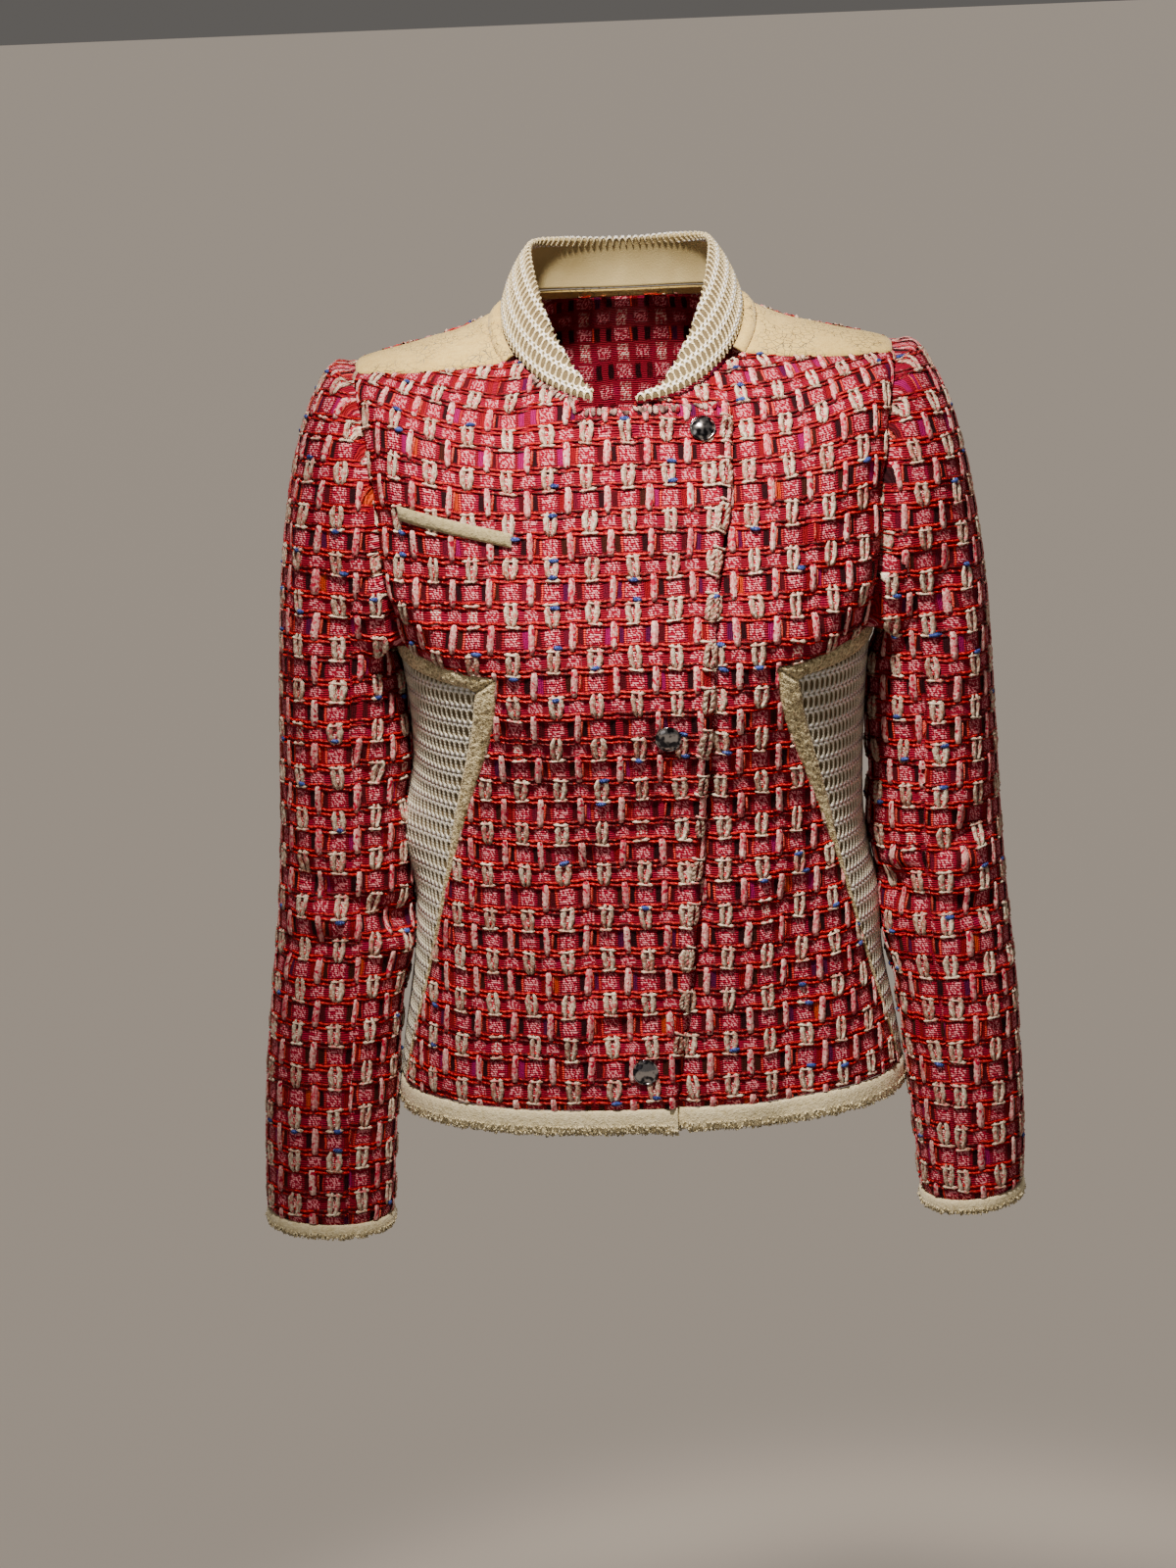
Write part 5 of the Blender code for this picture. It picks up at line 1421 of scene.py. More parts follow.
def cover(host, repeat, phase):
    """Middle and count, each way, of the lattice points phase + n * repeat that cover a host."""
    spans = []
    for low, high, step, start in zip(*HOSTS[host][1:], repeat, phase):
        first, last = floor((low - start) / step), ceil((high - start) / step)
        spans.append((start + (first + last) / 2 * step, last - first + 1))
    return zip(*spans)


# Which yarn lies where in a repeat: its column, its row, how many of its places are filled, its looseness.
DRAFT_COLUMNS = ("yarn", "across", "down", "share", "shift", "lean")
DRAFT = (
    ("cords", 0.0, CORDS_ONE, 1.0, 0.0, 0.0),
    ("cords", 0.0, CORDS_TWO, 1.0, 0.0, 0.0),
    ("oval", 0.0, ROW_ONE, 0.97, 0.0007, 0.12),
    ("slub", REPEAT_X / 2, ROW_TWO, 0.96, 0.0006, 0.07),
    ("ribbon", REPEAT_X / 2, ROW_TWO, 0.75, 0.0005, 0.07),
    ("float", 0.0, CORDS_ONE - 0.0002, 0.8, 0.0009, 0.16),
    ("float", 0.0, CORDS_TWO - 0.0014, 0.8, 0.0009, 0.16),
    ("blue", 0.0012, CORDS_ONE + 0.0004, 0.15, 0.0022, 0.2),
    ("blue", 0.002, CORDS_TWO - 0.0006, 0.15, 0.003, 0.2),
)


def weave(name, seed):
    """All yarns of one tweed piece, as one mesh."""
    parts = []
    for row, (kind, across, down, share, shift, lean) in enumerate(DRAFT):
        middle, span = cover(name, (REPEAT_X, REPEAT_Y), (across, down))
        parts.append(lay(f"{kind}_{row}", HOSTS[name][0], *YARNS[kind], middle, span, Share_kept=share,
                         Shift=shift, Lean=lean, Size_change=0.0 if kind == "cords" else 0.15,
                         Seed=seed * 40 + row))
    return joined(name.replace("cloth_", "yarns_"), parts)


yarns = {}
for seed, name in enumerate(sorted(HOSTS)):
    yarns[name] = weave(name, seed + 1)
    print(yarns[name].name, triangles(yarns[name]), "triangles")
paint(TWEED_GROUND, front_right, front_left, back,
      *(piece for pair in sleeves.values() for piece in pair.values()))

# %% [markdown]
# ## Openwork side panels and their suede bands
#
# Under each arm sits a triangle of openwork over a plain backing. One hole of the net is modelled as a
# small plate whose rims are rounded bars, and the laying tree repeats it edge to edge. The bands round the
# triangle are folded suede: thick, soft at the edges and crumbly on top, so they are cut finely enough for
# their nap to be real lumps.

# %% Suede that has real lumps
SEAM = 0.00045
HEM_END_V = HEM_SEAM_V + HEM_HEIGHT
NAP = 0.0011                     # spacing of the suede's points
BAND_ROWS, LEG_ROWS, BAND_PUFF = 13, 11, 0.0016


def crumbs(points, coarse=0.0036, fine=0.0015, rise=0.0007):
    """Uneven height of napped suede at each point."""
    return rise * np.array([0.55 * noise.noise(spot / coarse) + 0.75 * noise.noise(spot / fine)
                            for spot in map(Vector, points)])


def suede_shell(name, grid, thick, puff, rise=0.00075, lift=0.0, soft=0.005):
    """A padded suede piece on the body: full in the middle and rolled down at its edges."""
    places, faces = weld([grid])
    points, normals = body(places[:, 0], places[:, 1])
    flat = FRONT_CHART.flat(places[:, 0], places[:, 1])
    ring = edge_ring(facing_out(points, normals, faces))
    inward = np.clip(from_edge(flat, ring) / soft, 0, 1)
    full = puff * np.sqrt(1 - (1 - inward) ** 2) - 0.0006
    outer = INSIDE + thick + lift + full + crumbs(points, rise=rise) * np.sqrt(inward + 0.1)
    return put_wall(name, points, normals, faces, flat, np.full(len(points), INSIDE + lift), outer)


def count_for(path):
    points = body_plain(*np.array(path).T)
    return int(norm(np.diff(points, axis=0), axis=1).sum() / NAP)


def band_lower_v(theta):
    return band_top_v(theta) + BAND_WIDTH * (1 - BAND_TAPER * ease((BAND_END - theta) / BAND_TURN))


def side_pieces(side, sign):
    mitre = place(*MITRE)

    def turned(grid):
        return (grid * np.array([-1, 1]))[:, ::-1] if sign < 0 else grid

    top_path = [(t, band_top_v(t)) for t in np.linspace(CORNER_PLACE[0], BAND_END, 30)]
    top_path += [(t, UNDERARM_V) for t in np.linspace(BAND_END, SIDE_SEAM, 12)[1:]]
    low_path = [(t, band_lower_v(t)) for t in np.linspace(mitre[0], SIDE_SEAM, 40)]
    low_path[0] = mitre
    columns = count_for(top_path)
    top, low = evenly(top_path, columns), evenly(low_path, columns)
    ends = [straight(top[k], low[k], BAND_ROWS) for k in (0, -1)]
    bar = suede_shell("suede_band_top_" + side, turned(patch(top, low, *ends)), SUEDE, BAND_PUFF)
    outer_edge = [mitre]
    for z in np.linspace(MITRE[1] - LEG_START, LEG.rows[-1][0], 28):
        width = float(LEG("width", z))
        edge = leg_edge(z)
        girth = norm(body_plain(edge[0] + 0.01, edge[1]) - body_plain(*edge)) / 0.01
        outer_edge.append((edge[0] + width / girth, edge[1]))
    outer_edge[-1] = (outer_edge[-1][0], HEM_SEAM_V)
    rows = count_for(LEG_PATH)
    inside, edge = evenly(outer_edge, rows), evenly(LEG_PATH, rows)
    ends = [straight(edge[k], inside[k], LEG_ROWS) for k in (0, -1)]
    leg = suede_shell("suede_band_front_" + side, turned(patch(*ends, edge, inside)), SUEDE, BAND_PUFF)
    low, inside = evenly(low_path, 40), evenly(outer_edge, 70)
    hem = straight(inside[-1], (SIDE_SEAM, HEM_SEAM_V), 40)
    seam = evenly([tuple(low[-1]), (SIDE_SEAM, HEM_SEAM_V)], 70)
    panel = turned(patch(low, hem, inside, seam))
    net = body_shell("net_backing_" + side, [panel], FRONT_CHART, NET, None, True)
    return {"top": bar, "front": leg, "mesh": net}


sides = {side: side_pieces(side, sign) for side, sign in SIDES}
print("band faces:", [len(sides["left"][part].data.polygons) for part in ("top", "front")])

# %% One hole of the net
NET_REPEAT, NET_HOLE, NET_RIDGE, BAR = (0.0047, 0.012), (0.0032, 0.0078), 0.0048, 0.0011
PLATE_RIM = [(-1, -1), (-0.35, -1), (0.35, -1), (1, -1), (1, -0.62), (1, -0.2), (1, 0.2), (1, 0.62), (1, 1),
             (0.35, 1), (-0.35, 1), (-1, 1), (-1, 0.62), (-1, 0.2), (-1, -0.2), (-1, -0.62)]


def net_plate(name, repeat, hole, high=BAR):
    """A plate with a lens-shaped hole; its bars are rounded and fullest where two plates meet."""
    corner, count = np.array(PLATE_RIM), len(PLATE_RIM)
    border = corner * repeat / 2
    turn = np.arctan2(corner[:, 1], corner[:, 0])
    lens = np.column_stack([np.cos(turn), np.sin(turn)]) * hole / 2
    lens[:, 0] *= 1 - 0.25 * (np.abs(lens[:, 1]) / (hole[1] / 2)) ** 3
    ends = np.abs(corner[:, 1]) == 1
    crest = np.where(ends & (np.abs(corner[:, 0]) == 1), 0.05, np.where(ends, 0.5, 0.9))
    verts = np.vstack([np.column_stack([border, high * crest]),
                       np.column_stack([lens + (border - lens) * 0.45, high * np.where(ends, 1.0, 0.86)]),
                       np.column_stack([lens, np.full(count, high * 0.2)]),
                       np.column_stack([lens * (1.06, 1.03), np.full(count, -0.0002)])])
    faces = [(low + after, low + k, low + count + k, low + count + after)
             for low in (0, count, 2 * count) for k, after in zip(range(count), (*range(1, count), 0))]
    below = np.array([0.0, 0.0, -1.0])
    return yarn_object(name, [(verts, turned_away(verts, faces, 0, below), verts[:, :2])])


def thread_finish(name, low, high, sheen, repeat, ridge):
    """Glossy twisted threads with painted slanting glints. Small pits part the rows, painted dark as shade.
    """
    f = Finish(name, Roughness=0.42, Specular_IOR_Level=0.5, Coat_Weight=sheen, Coat_Roughness=0.18)
    x, y, _ = f.split(f.chart("yarn"))
    grains = f.spread(f.spot(), 900.0, 1.0)
    twist = (x + y * 0.7).wave(0.00135)
    off_x, off_y = ((part.abs() - size / 2).abs() for part, size in zip((x, y), repeat))
    pit = (off_x * off_x + off_y * off_y).fade(0.00105 ** 2, 0.0006 ** 2)
    rise = y.abs() - ridge
    # Painted highlights: short white glints slanting along the ridges above and below each hole.
    painted_glint = rise.abs().fade(0.0012, 0.0005) * (x + rise * 0.9).abs().fade(0.0014, 0.0007)
    colour = f.mix(painted_glint * 1.5, f.mix(twist * 0.15 + grains * 0.8, low, high), (255, 255, 255))
    # Painted shade: the pits are darkened.
    colour = f.mix(pit * 0.75, colour, (110, 96, 70))
    return f.end(colour, 0.24 + (1.0 - twist) * 0.25, twist * 0.25 + grains * 0.25 - pit)


def backing_with_hole_shade(ripple=2 * pi / 0.0009):
    f = Finish("net_backing", Roughness=0.9, Specular_IOR_Level=0.2)
    spot = f.spot()
    x, y, z = f.split(spot)
    grain = ((x + y) * ripple).math("SINE") * (z * ripple).math("SINE")
    # The backing's colour is kept dark as painted shade for what shows through the holes of the net.
    return f.end(f.mix(f.spread(spot, 300.0), (92, 78, 56), (134, 118, 88)), None, grain, 0.0003, 0.6)


NET_THREAD = thread_finish("net_thread", (182, 174, 148), (238, 234, 216), 1.0, NET_REPEAT, NET_RIDGE)
NET_BACKING_HOLE_SHADE = backing_with_hole_shade()
plate = net_plate("net_hole", NET_REPEAT, NET_HOLE)
print("a hole of the net is", [size * 1000 for size in NET_HOLE], "mm")

# %% The net laid over each side panel
def net_over(host, name, source, finish, repeat, seed):
    made = lay(name, HOSTS[host][0], source, finish, *cover(host, repeat, (0.0, 0.0)),
               Repeat_across=repeat[0], Repeat_down=repeat[1], Shift=0.0, Lean=0.0, Size_change=0.0,
               Sway=0.25, Seed=seed)
    made.data.shade_smooth()
    return made


nets = {}
for seed, side in enumerate(("right", "left")):
    nets[side] = net_over("net_backing_" + side, "net_" + side, plate, NET_THREAD, NET_REPEAT, 300 + seed)
    paint(NET_BACKING_HOLE_SHADE, sides[side]["mesh"])
print("net triangles:", triangles(nets["left"]))

# %% [markdown]
# ## Bindings, welt and yokes
#
# A binding is a strip folded over an edge: a rounded section swept along the hem or round the cuff. Its
# upper half is smooth and its turned edge is rougher, where the cut suede frays.

# %% Hem and cuffs
SECTION = 18                     # points round a binding
BINDING_HALF = 0.0026            # half its thickness
BINDING_TURN = 0.004             # what the fold adds to its width when it is cut
HEM_RADIUS = 0.14                # turns a width at the hem into an angle


def bound_section(top, low, normal):
    """Rounded sections between a seam line and a fold line; rows of points round each place."""
    turn = np.arange(SECTION) / SECTION * 2 * pi
    c, d = np.cos(turn), np.sin(turn)
    share = 0.5 - 0.5 * np.sign(c) * np.abs(c) ** 0.55
    reach = np.sign(d) * np.abs(d) ** 0.62 * (0.86 + 0.14 * np.sin(share * pi))
    out = INSIDE + TWEED / 2 + BINDING_HALF * reach
    rings = top[:, None] + (low - top)[:, None] * share[None, :, None] + normal[:, None] * out[None, :, None]
    return rings, share, d


def torn_flakes(name, rings, share, outside, seed):
    """Torn flakes of suede that stand off the lower edge of a binding."""
    rng = np.random.default_rng(seed)
    away = unit(rings - rings.mean(axis=1, keepdims=True))
    low = np.flatnonzero((share > 0.42) & (outside > -0.5))
    made = []
    for ring in rng.integers(1, len(rings) - 1, len(rings) * 4):
        k = rng.choice(low)
        ahead = unit(away[ring, k] * 0.5 + (0, 0, -0.6) + rng.normal(0, 0.45, 3))
        bend = rng.normal(0, 0.0004, 3)
        length = rng.uniform(0.0008, 0.0022)
        root = rings[ring, k]
        path = np.array([root - ahead * 0.0006, root + ahead * length * 0.5 + bend, root + ahead * length])
        wide = rng.uniform(0.0006, 0.0014) * np.array([1.0, 0.9, 0.35])
        made.append(strand(path, wide, np.full(3, 0.00028), 3))
    piece = yarn_object(name, made)
    piece.hide_render = False
    return piece


def put_binding(name, top, low, normal, closed, ragged, seed):
    """A binding, its torn flakes, and its run and girth as cut."""
    rings, share, outside = bound_section(top, low, normal)
    count = len(rings)
    centre = rings.mean(axis=1, keepdims=True)
    rough = 0.35 + 0.65 * ease((share - 0.45) / 0.4)
    lumps = crumbs(rings.reshape(-1, 3) + seed, 0.0052, 0.0022, 0.00085).reshape(rings.shape[:2])
    rings = rings + unit(rings - centre) * (lumps * rough[None])[..., None]
    edge = np.array([noise.noise(Vector((i * 0.13, seed, 0.0)))
                     + 0.7 * noise.noise(Vector((i * 0.55, seed, 4.0))) for i in range(count)])
    rings[..., 2] -= (ragged * np.abs(edge))[:, None] * ease((share - 0.7) / 0.3)[None]
    torn = torn_flakes(name.replace("suede_", "flakes_"), rings, share, outside, int(seed * 10) + 5)
    run = run_along(top)
    girth = norm(low - top, axis=1).mean()
    flat = np.stack(np.broadcast_arrays(run[:, None], -share[None] * girth), axis=-1)
    faces = []
    for ring in range(count if closed else count - 1):
        a, b = ring * SECTION, ((ring + 1) % count) * SECTION
        for k in range(SECTION):
            n = (k + 1) % SECTION
            faces.append((a + k, b + k, b + n, a + n))
    if not closed:
        faces += [tuple(range(SECTION)), tuple((count - 1) * SECTION + k for k in range(SECTION))[::-1]]
    verts = rings.reshape(-1, 3)
    faces = turned_away(verts, faces, SECTION // 4, centre[0, 0])
    binding = put_mesh(name, verts, faces, flat.reshape(-1, 2))
    return binding, torn, float(run[-1]), float(girth) + BINDING_TURN


def hem_binding(name, theta, ragged, seed, set_back=0.0, corner=0.0):
    """corner is how far the far end of the fold hangs below the rest."""
    top, normal = body(theta, np.full(len(theta), HEM_SEAM_V + SEAM))
    low, _ = body(theta, np.full(len(theta), HEM_END_V))
    low[:, 2] -= corner * np.exp(-(np.arange(len(theta))[::-1] / 9.0))
    shift = normal * (np.zeros(len(theta)) + set_back)[:, None]
    return put_binding("suede_hem_" + name, top - shift, low - shift, normal, False, ragged, seed)


def hem_bindings():
    closing, inner, near, far = (place(x, HEM_SEAM_Z)[0] for x in (
        closing_x(HEM_SEAM_Z), closing_x(HEM_SEAM_Z) - UNDERLAP_WIDTH,
        underlap_x(HEM_SEAM_Z, 1.0), underlap_x(HEM_SEAM_Z, 0.0)))
    part = SEAM / 2 / HEM_RADIUS
    side = LEG_EDGE_END + part
    under = np.concatenate([np.linspace(inner, near, 60), np.linspace(near, far, 8)[1:-1],
                            np.linspace(far, LEG_EDGE_END - part, 150)])
    depth = HEM_UNDERLAP * (1 - ease((under - near) / (far - near)))
    over = np.linspace(-LEG_EDGE_END + part, closing, 280)
    return {"front_right": hem_binding("front_right", over, 0.0026, 1.0, corner=0.0026),
            "front_left": hem_binding("front_left", under, 0.0012, 2.0, depth),
            "back": hem_binding("back", np.linspace(side, 2 * pi - side, 380), 0.0012, 3.0)}


def spread_ring(points, count):
    """A closed ring of points, spread evenly into count places."""
    ring = np.vstack([points, points[:1]])
    run = run_along(ring)
    at = np.linspace(0, run[-1], count, endpoint=False)
    return np.column_stack([np.interp(at, run, ring[:, k]) for k in range(3)])


def cuff_binding(side, sign):
    ends = [0.99, 1.0 + SEAM / SLEEVE_LENGTH, 1.0 + CUFF_HEIGHT / SLEEVE_LENGTH]
    points, normals = sleeve_rings(ends, sign)
    top, low, normal = (spread_ring(ring, 230)[::sign] for ring in (points[1], points[2], normals[1]))
    return put_binding("suede_cuff_" + side, top, low, unit(normal), True, 0.0006, 5.0 + sign)


hems = hem_bindings()
cuffs = {side: cuff_binding(side, sign) for side, sign in SIDES}
print("lengths of the bindings in mm:", [round(made[2] * 1000) for made in (*hems.values(), *cuffs.values())])

# %% Welt and neck strip
def welt_shell():
    (x1, z1), (x2, z2) = WELT
    columns, rows = 66, 9
    grid = np.array([[place(x1 + (x2 - x1) * c / columns,
                            z1 + (z2 - z1) * c / columns - WELT_WIDTH * r / rows)
                      for c in range(columns + 1)] for r in range(rows + 1)])
    return suede_shell("suede_welt", grid, WELT_THICK, 0.0012, 0.00035, TWEED + LAID_CLEAR, 0.0028)


def neck_strip_shell(rows=6):
    mid = evenly([(t, STRIP_V) for t in np.linspace(YOKE_INNER, 2 * pi - YOKE_INNER, 120)], 330)
    grid = np.stack([np.column_stack([mid[:, 0], np.full(len(mid), v)])
                     for v in np.linspace(STRIP_FREE_V, STRIP_V, rows)])
    places, faces = weld([grid])
    points, normals = body(places[:, 0], places[:, 1])
    down = np.repeat(np.linspace(0, 1, rows), len(mid))
    width = norm(points[len(mid) * (rows - 1)] - points[0])
    flat = np.column_stack([np.tile(run_along(points[:len(mid)]), rows), -down * width])
    outer = (INSIDE + SUEDE + 0.0012 * np.sqrt(np.clip(1 - np.abs(2 * down - 1), 0, 1)) - 0.0004
             + crumbs(points, rise=0.0003))
    return put_wall("suede_neck_strip", points, normals, faces, flat, np.full(len(points), INSIDE), outer)


welt = welt_shell()
neck_strip = neck_strip_shell()
print("welt faces:", len(welt.data.polygons), "strip faces:", len(neck_strip.data.polygons))

# %% Suede finishes
def suede_finish(name, low, high, deep, nap, crackle=0.0):
    """Napped suede: painted highlights on its lumps, painted shade at their roots, and a few stray pores."""
    f = Finish(name, Roughness=0.95, Specular_IOR_Level=0.15, Sheen_Weight=0.25, Sheen_Roughness=0.6)
    spot = f.spot()
    soft, crumb, tips = f.spread(spot, 140.0, 3.0), f.spread(spot, 430.0), f.spread(spot, 1100.0, 1.0)
    # The colour follows the same noise as the bump: painted highlight where the nap is high, painted shade
    # where it is low.
    colour = f.mix(0.5 + (soft - 0.5) * 0.8 + (crumb - 0.5) * nap * 2.8 + (tips - 0.5) * nap * 1.8, low, high)
    pore = f.spread(spot, 260.0, kind="ShaderNodeTexVoronoi").fade(0.14, 0.06)
    colour = f.mix(pore * soft.fade(0.48, 0.62) * (0.35 + 0.4 * crackle), colour, deep)
    height = crumb * nap + tips * nap * 0.8 + soft * 0.3
    if crackle:
        cracks = f.spread(spot, 210.0, kind="ShaderNodeTexVoronoi", feature="DISTANCE_TO_EDGE")
        gap = cracks.fade(0.035, 0.0) * f.spread(spot, 40.0).fade(0.45, 0.62)
        colour = f.mix(gap * crackle, colour, deep)
        height = height - gap
    return f.end(colour, None, height, 0.0014)


SUEDE_FINISH = suede_finish("napped_suede", (134, 114, 68), (248, 232, 184), (96, 80, 48), 1.0)
YOKE_FINISH = suede_finish("yoke_suede_skin", (184, 152, 82), (222, 194, 118), (110, 86, 46), 0.3, 0.6)
HEM_FINISH = suede_finish("hem_suede", (206, 190, 142), (254, 242, 204), (130, 114, 78), 0.45)
WELT_FINISH = suede_finish("welt_suede", (122, 110, 74), (190, 176, 134), (92, 80, 50), 0.4)
for made, torn, _, _ in (*hems.values(), *cuffs.values()):
    paint(HEM_FINISH, made, torn)
for side, pieces in sides.items():
    paint(SUEDE_FINISH, pieces["top"], pieces["front"])
paint(YOKE_FINISH, *yokes.values(), neck_strip)
paint(WELT_FINISH, welt)
print("suede painted")

# %% [markdown]
# ## Stand collar
#
# The collar is a band of the same openwork, folded over at its top and smooth inside. Its backing is one
# wall, and the net is laid over its outer face, over the fold and a little way down inside.

# %% The collar's surface
COLLAR_ROUND, COLLAR_UP = 170, 20
COLLAR_BACKING = 0.0009          # half thickness of the smooth wall
NET_CLEAR = 0.0002               # from the backing to the net's own sheet


def collar_surface(theta, h):
    """Points at theta and at the share h of the collar's height."""
    foot = body_plain(theta, np.zeros(np.shape(theta)))
    turn = np.degrees(np.abs(((theta + pi) % (2 * pi)) - pi))
    rise, lean = (COLLAR(name, turn)[..., None] for name in ("rise", "lean"))
    outward = np.stack([np.sin(theta), -np.cos(theta), np.zeros(np.shape(theta))], axis=-1)
    up = np.array([0, 0, 1.0])
    across = -outward * lean + up * rise
    bow = unit(outward * rise + up * lean)
    share = h[..., None]
    size = COLLAR_CROWN * np.minimum(rise / 0.03, 1.0) * 4 * share * (1 - share)
    return foot + across * share + bow * size


def collar_frame(theta, h):
    """Points, outward and upward directions."""
    h = np.broadcast_to(h, np.shape(theta))
    points = collar_surface(theta, h)
    by_theta = collar_surface(theta + 0.01, h) - collar_surface(theta - 0.01, h)
    by_h = collar_surface(theta, h - 0.02) - collar_surface(theta, h + 0.02)
    points[..., 2] += COLLAR_LIFT
    return points, unit(np.cross(by_h, by_theta)), unit(-by_h)


COLLAR_THETA = np.linspace(radians(COLLAR_END_LEFT), radians(360 + COLLAR_END_RIGHT), COLLAR_ROUND + 1)
print("collar from", COLLAR_END_LEFT, "to", 360 + COLLAR_END_RIGHT, "degrees")

# %% Its backing, and the net's own sheet round it
def collar_backing():
    points, normals, _ = collar_frame(*np.meshgrid(COLLAR_THETA, np.linspace(1, 0, COLLAR_UP + 1)))
    girth = running(norm(np.diff(points[COLLAR_UP // 2], axis=0), axis=1), 0)
    girth = girth - girth[-1] / 2
    height = running(norm(np.diff(points, axis=0), axis=-1), 0)
    height = height[-1][None] - height
    flat = np.stack(np.broadcast_arrays(girth[None], height), axis=-1).reshape(-1, 2)
    half = COLLAR_BACKING * np.ones(len(flat))
    return girth, put_wall("net_collar_backing", points.reshape(-1, 3), normals.reshape(-1, 3),
                           grid_faces(COLLAR_UP + 1, COLLAR_ROUND + 1), flat, -half, half)


def collar_net_sheet(girth):
    """Up the outer face, round the fold and down the inner face."""
    outer = COLLAR_BACKING + NET_CLEAR
    rows, outs = [], []
    for share in np.linspace(0.02, 0.985, 16):
        spot, out, _ = collar_frame(COLLAR_THETA, share)
        rows.append(spot + out * outer)
        outs.append(out)
    top, top_normal, top_up = collar_frame(COLLAR_THETA, 0.985)
    for turn in np.linspace(0, pi, 7)[1:]:
        outs.append(top_normal * cos(turn) + top_up * sin(turn))
        rows.append(top + outs[-1] * outer)
    for share in (0.93, 0.86):
        spot, out, _ = collar_frame(COLLAR_THETA, share)
        rows.append(spot - out * outer)
        outs.append(-out)
    rows, outs = np.array(rows), np.array(outs)
    up = running(norm(np.diff(rows, axis=0), axis=-1), 0)
    flat = np.stack(np.broadcast_arrays(girth[None], up), axis=-1).reshape(-1, 2)
    rows, outs, faces = rows.reshape(-1, 3), outs.reshape(-1, 3), grid_faces(*rows.shape[:2])
    faces = facing_out(rows, outs, faces)
    put_host("net_collar", rows, outs, faces, flat, edge_ring(faces))


collar_girth, collar = collar_backing()
collar_net_sheet(collar_girth)
print("collar girth:", round(float(np.ptp(collar_girth)) * 1000), "mm")

# %% Its net and its smooth inside
COLLAR_REPEAT, COLLAR_HOLE, COLLAR_RIDGE = (0.005, 0.0104), (0.0037, 0.008), 0.0045
collar_plate = net_plate("collar_hole", COLLAR_REPEAT, COLLAR_HOLE)
COLLAR_THREAD = thread_finish("collar_thread", (200, 180, 128), (252, 238, 200), 0.6, COLLAR_REPEAT,
                              COLLAR_RIDGE)


def lining_finish():
    f = Finish("collar_inside", Roughness=0.8, Specular_IOR_Level=0.25)
    spot = f.spot()
    colour = f.mix(f.spread(spot, 60.0), (176, 156, 104), (212, 194, 144))
    return f.end(colour, None, f.spread(spot, 1200.0, 1.0), 0.0003, 0.7)


paint(lining_finish(), collar)
# The side under the net takes the backing's darker colour, painted shade for the holes of the net.
paint(NET_BACKING_HOLE_SHADE, collar)
for face in collar.data.polygons:      # the side under the net is darker than the side at the neck
    face.material_index = int(face.normal.x * face.center.x + face.normal.y * face.center.y > 0)
nets["collar"] = net_over("net_collar", "net_over_collar", collar_plate, COLLAR_THREAD, COLLAR_REPEAT, 310)
SPARE = [plate, collar_plate]
print("collar net triangles:", triangles(nets["collar"]))

# %% [markdown]
# ## Turned yarns along the flap's edges
#
# The closing edge is a selvedge, where the cream yarns turn back in fat twisted loops, one at each row of
# the weave. Along the neck the folded strip shows the cut yarns side by side, slanting. Both are laid on
# the flap through the same chart as its other yarns.

# %% Lines of the chart to lay strands along
def flat_line(spots):
    """A line of the chart through places of the body, and its run."""
    flat = FRONT_CHART.flat(spots[:, 0], spots[:, 1])
    return flat, run_along(flat)


def set_on(line, at, path, lean=0.0):
    """Carry a strand's path (across, along, up) to a place of the line, leaning."""
    flat, run = line
    here, ahead = (np.array([np.interp(at + step, run, flat[:, k]) for k in (0, 1)])
                   for step in (-0.002, 0.002))
    along = unit(ahead - here)
    along = along * cos(lean) + np.array([-along[1], along[0]]) * sin(lean)
    across = np.array([-along[1], along[0]])
    return np.column_stack([(here + ahead) / 2 + path[:, :1] * across + path[:, 1:2] * along, path[:, 2]])


CLOSING_LINE = flat_line(np.array([place(float(closing_x(z)), z) for z in np.linspace(-0.066, -0.518, 120)]))
print("closing edge:", round(float(CLOSING_LINE[1][-1]) * 1000), "mm")

# %% Loops down the closing edge and slanting yarns along the neck
def closing_loops(rng):
    flat, run = CLOSING_LINE
    t, u = np.linspace(-1, 1, 12), np.linspace(-1, 1, 7)
    knobs = 0.001 * np.array([0.7, 1.4, 0.8, 0.7, 0.8, 1.4, 0.7])
    made = []
    for row in range(-20, 4):
        level = ROW_ONE + row * REPEAT_Y
        if not flat[-1, 1] + 0.012 < level < flat[0, 1] - 0.004:
            continue
        at = float(np.interp(-level, -flat[:, 1], run))
        size = (1.12 if at < 0.24 else 0.85) * rng.uniform(0.9, 1.08)
        lean, first = rng.uniform(-0.15, 0.15), rng.uniform(0, 6)
        for side in (-1, 1):
            for ply in (0.0, pi):
                turn = 6.5 * t + ply + first
                bow = side * (0.001 + 0.0016 * (1 - t ** 2) ** 0.7) + 0.0007 * np.cos(turn)
                path = np.column_stack([bow * size - 0.0034, 0.0072 * t * size,
                                        0.0014 - 0.001 * t ** 4 + 0.0007 * np.sin(turn)])
                wide = 0.00125 * size * (1 + 0.22 * np.sin(turn * 1.7 + side))
                made.append(strand(set_on(CLOSING_LINE, at, path, lean), wide, wide * 0.85, 5))
        for end in (-1, 1)[:rng.integers(1, 3)]:
            path = np.column_stack([0.0052 * u - 0.003, end * 0.0086 * size + 0.0006 * u,
                                    0.0014 - 0.0006 * u ** 2])
            made.append(strand(set_on(CLOSING_LINE, at, path, rng.uniform(-0.2, 0.2)), knobs, knobs, 5))
    return made


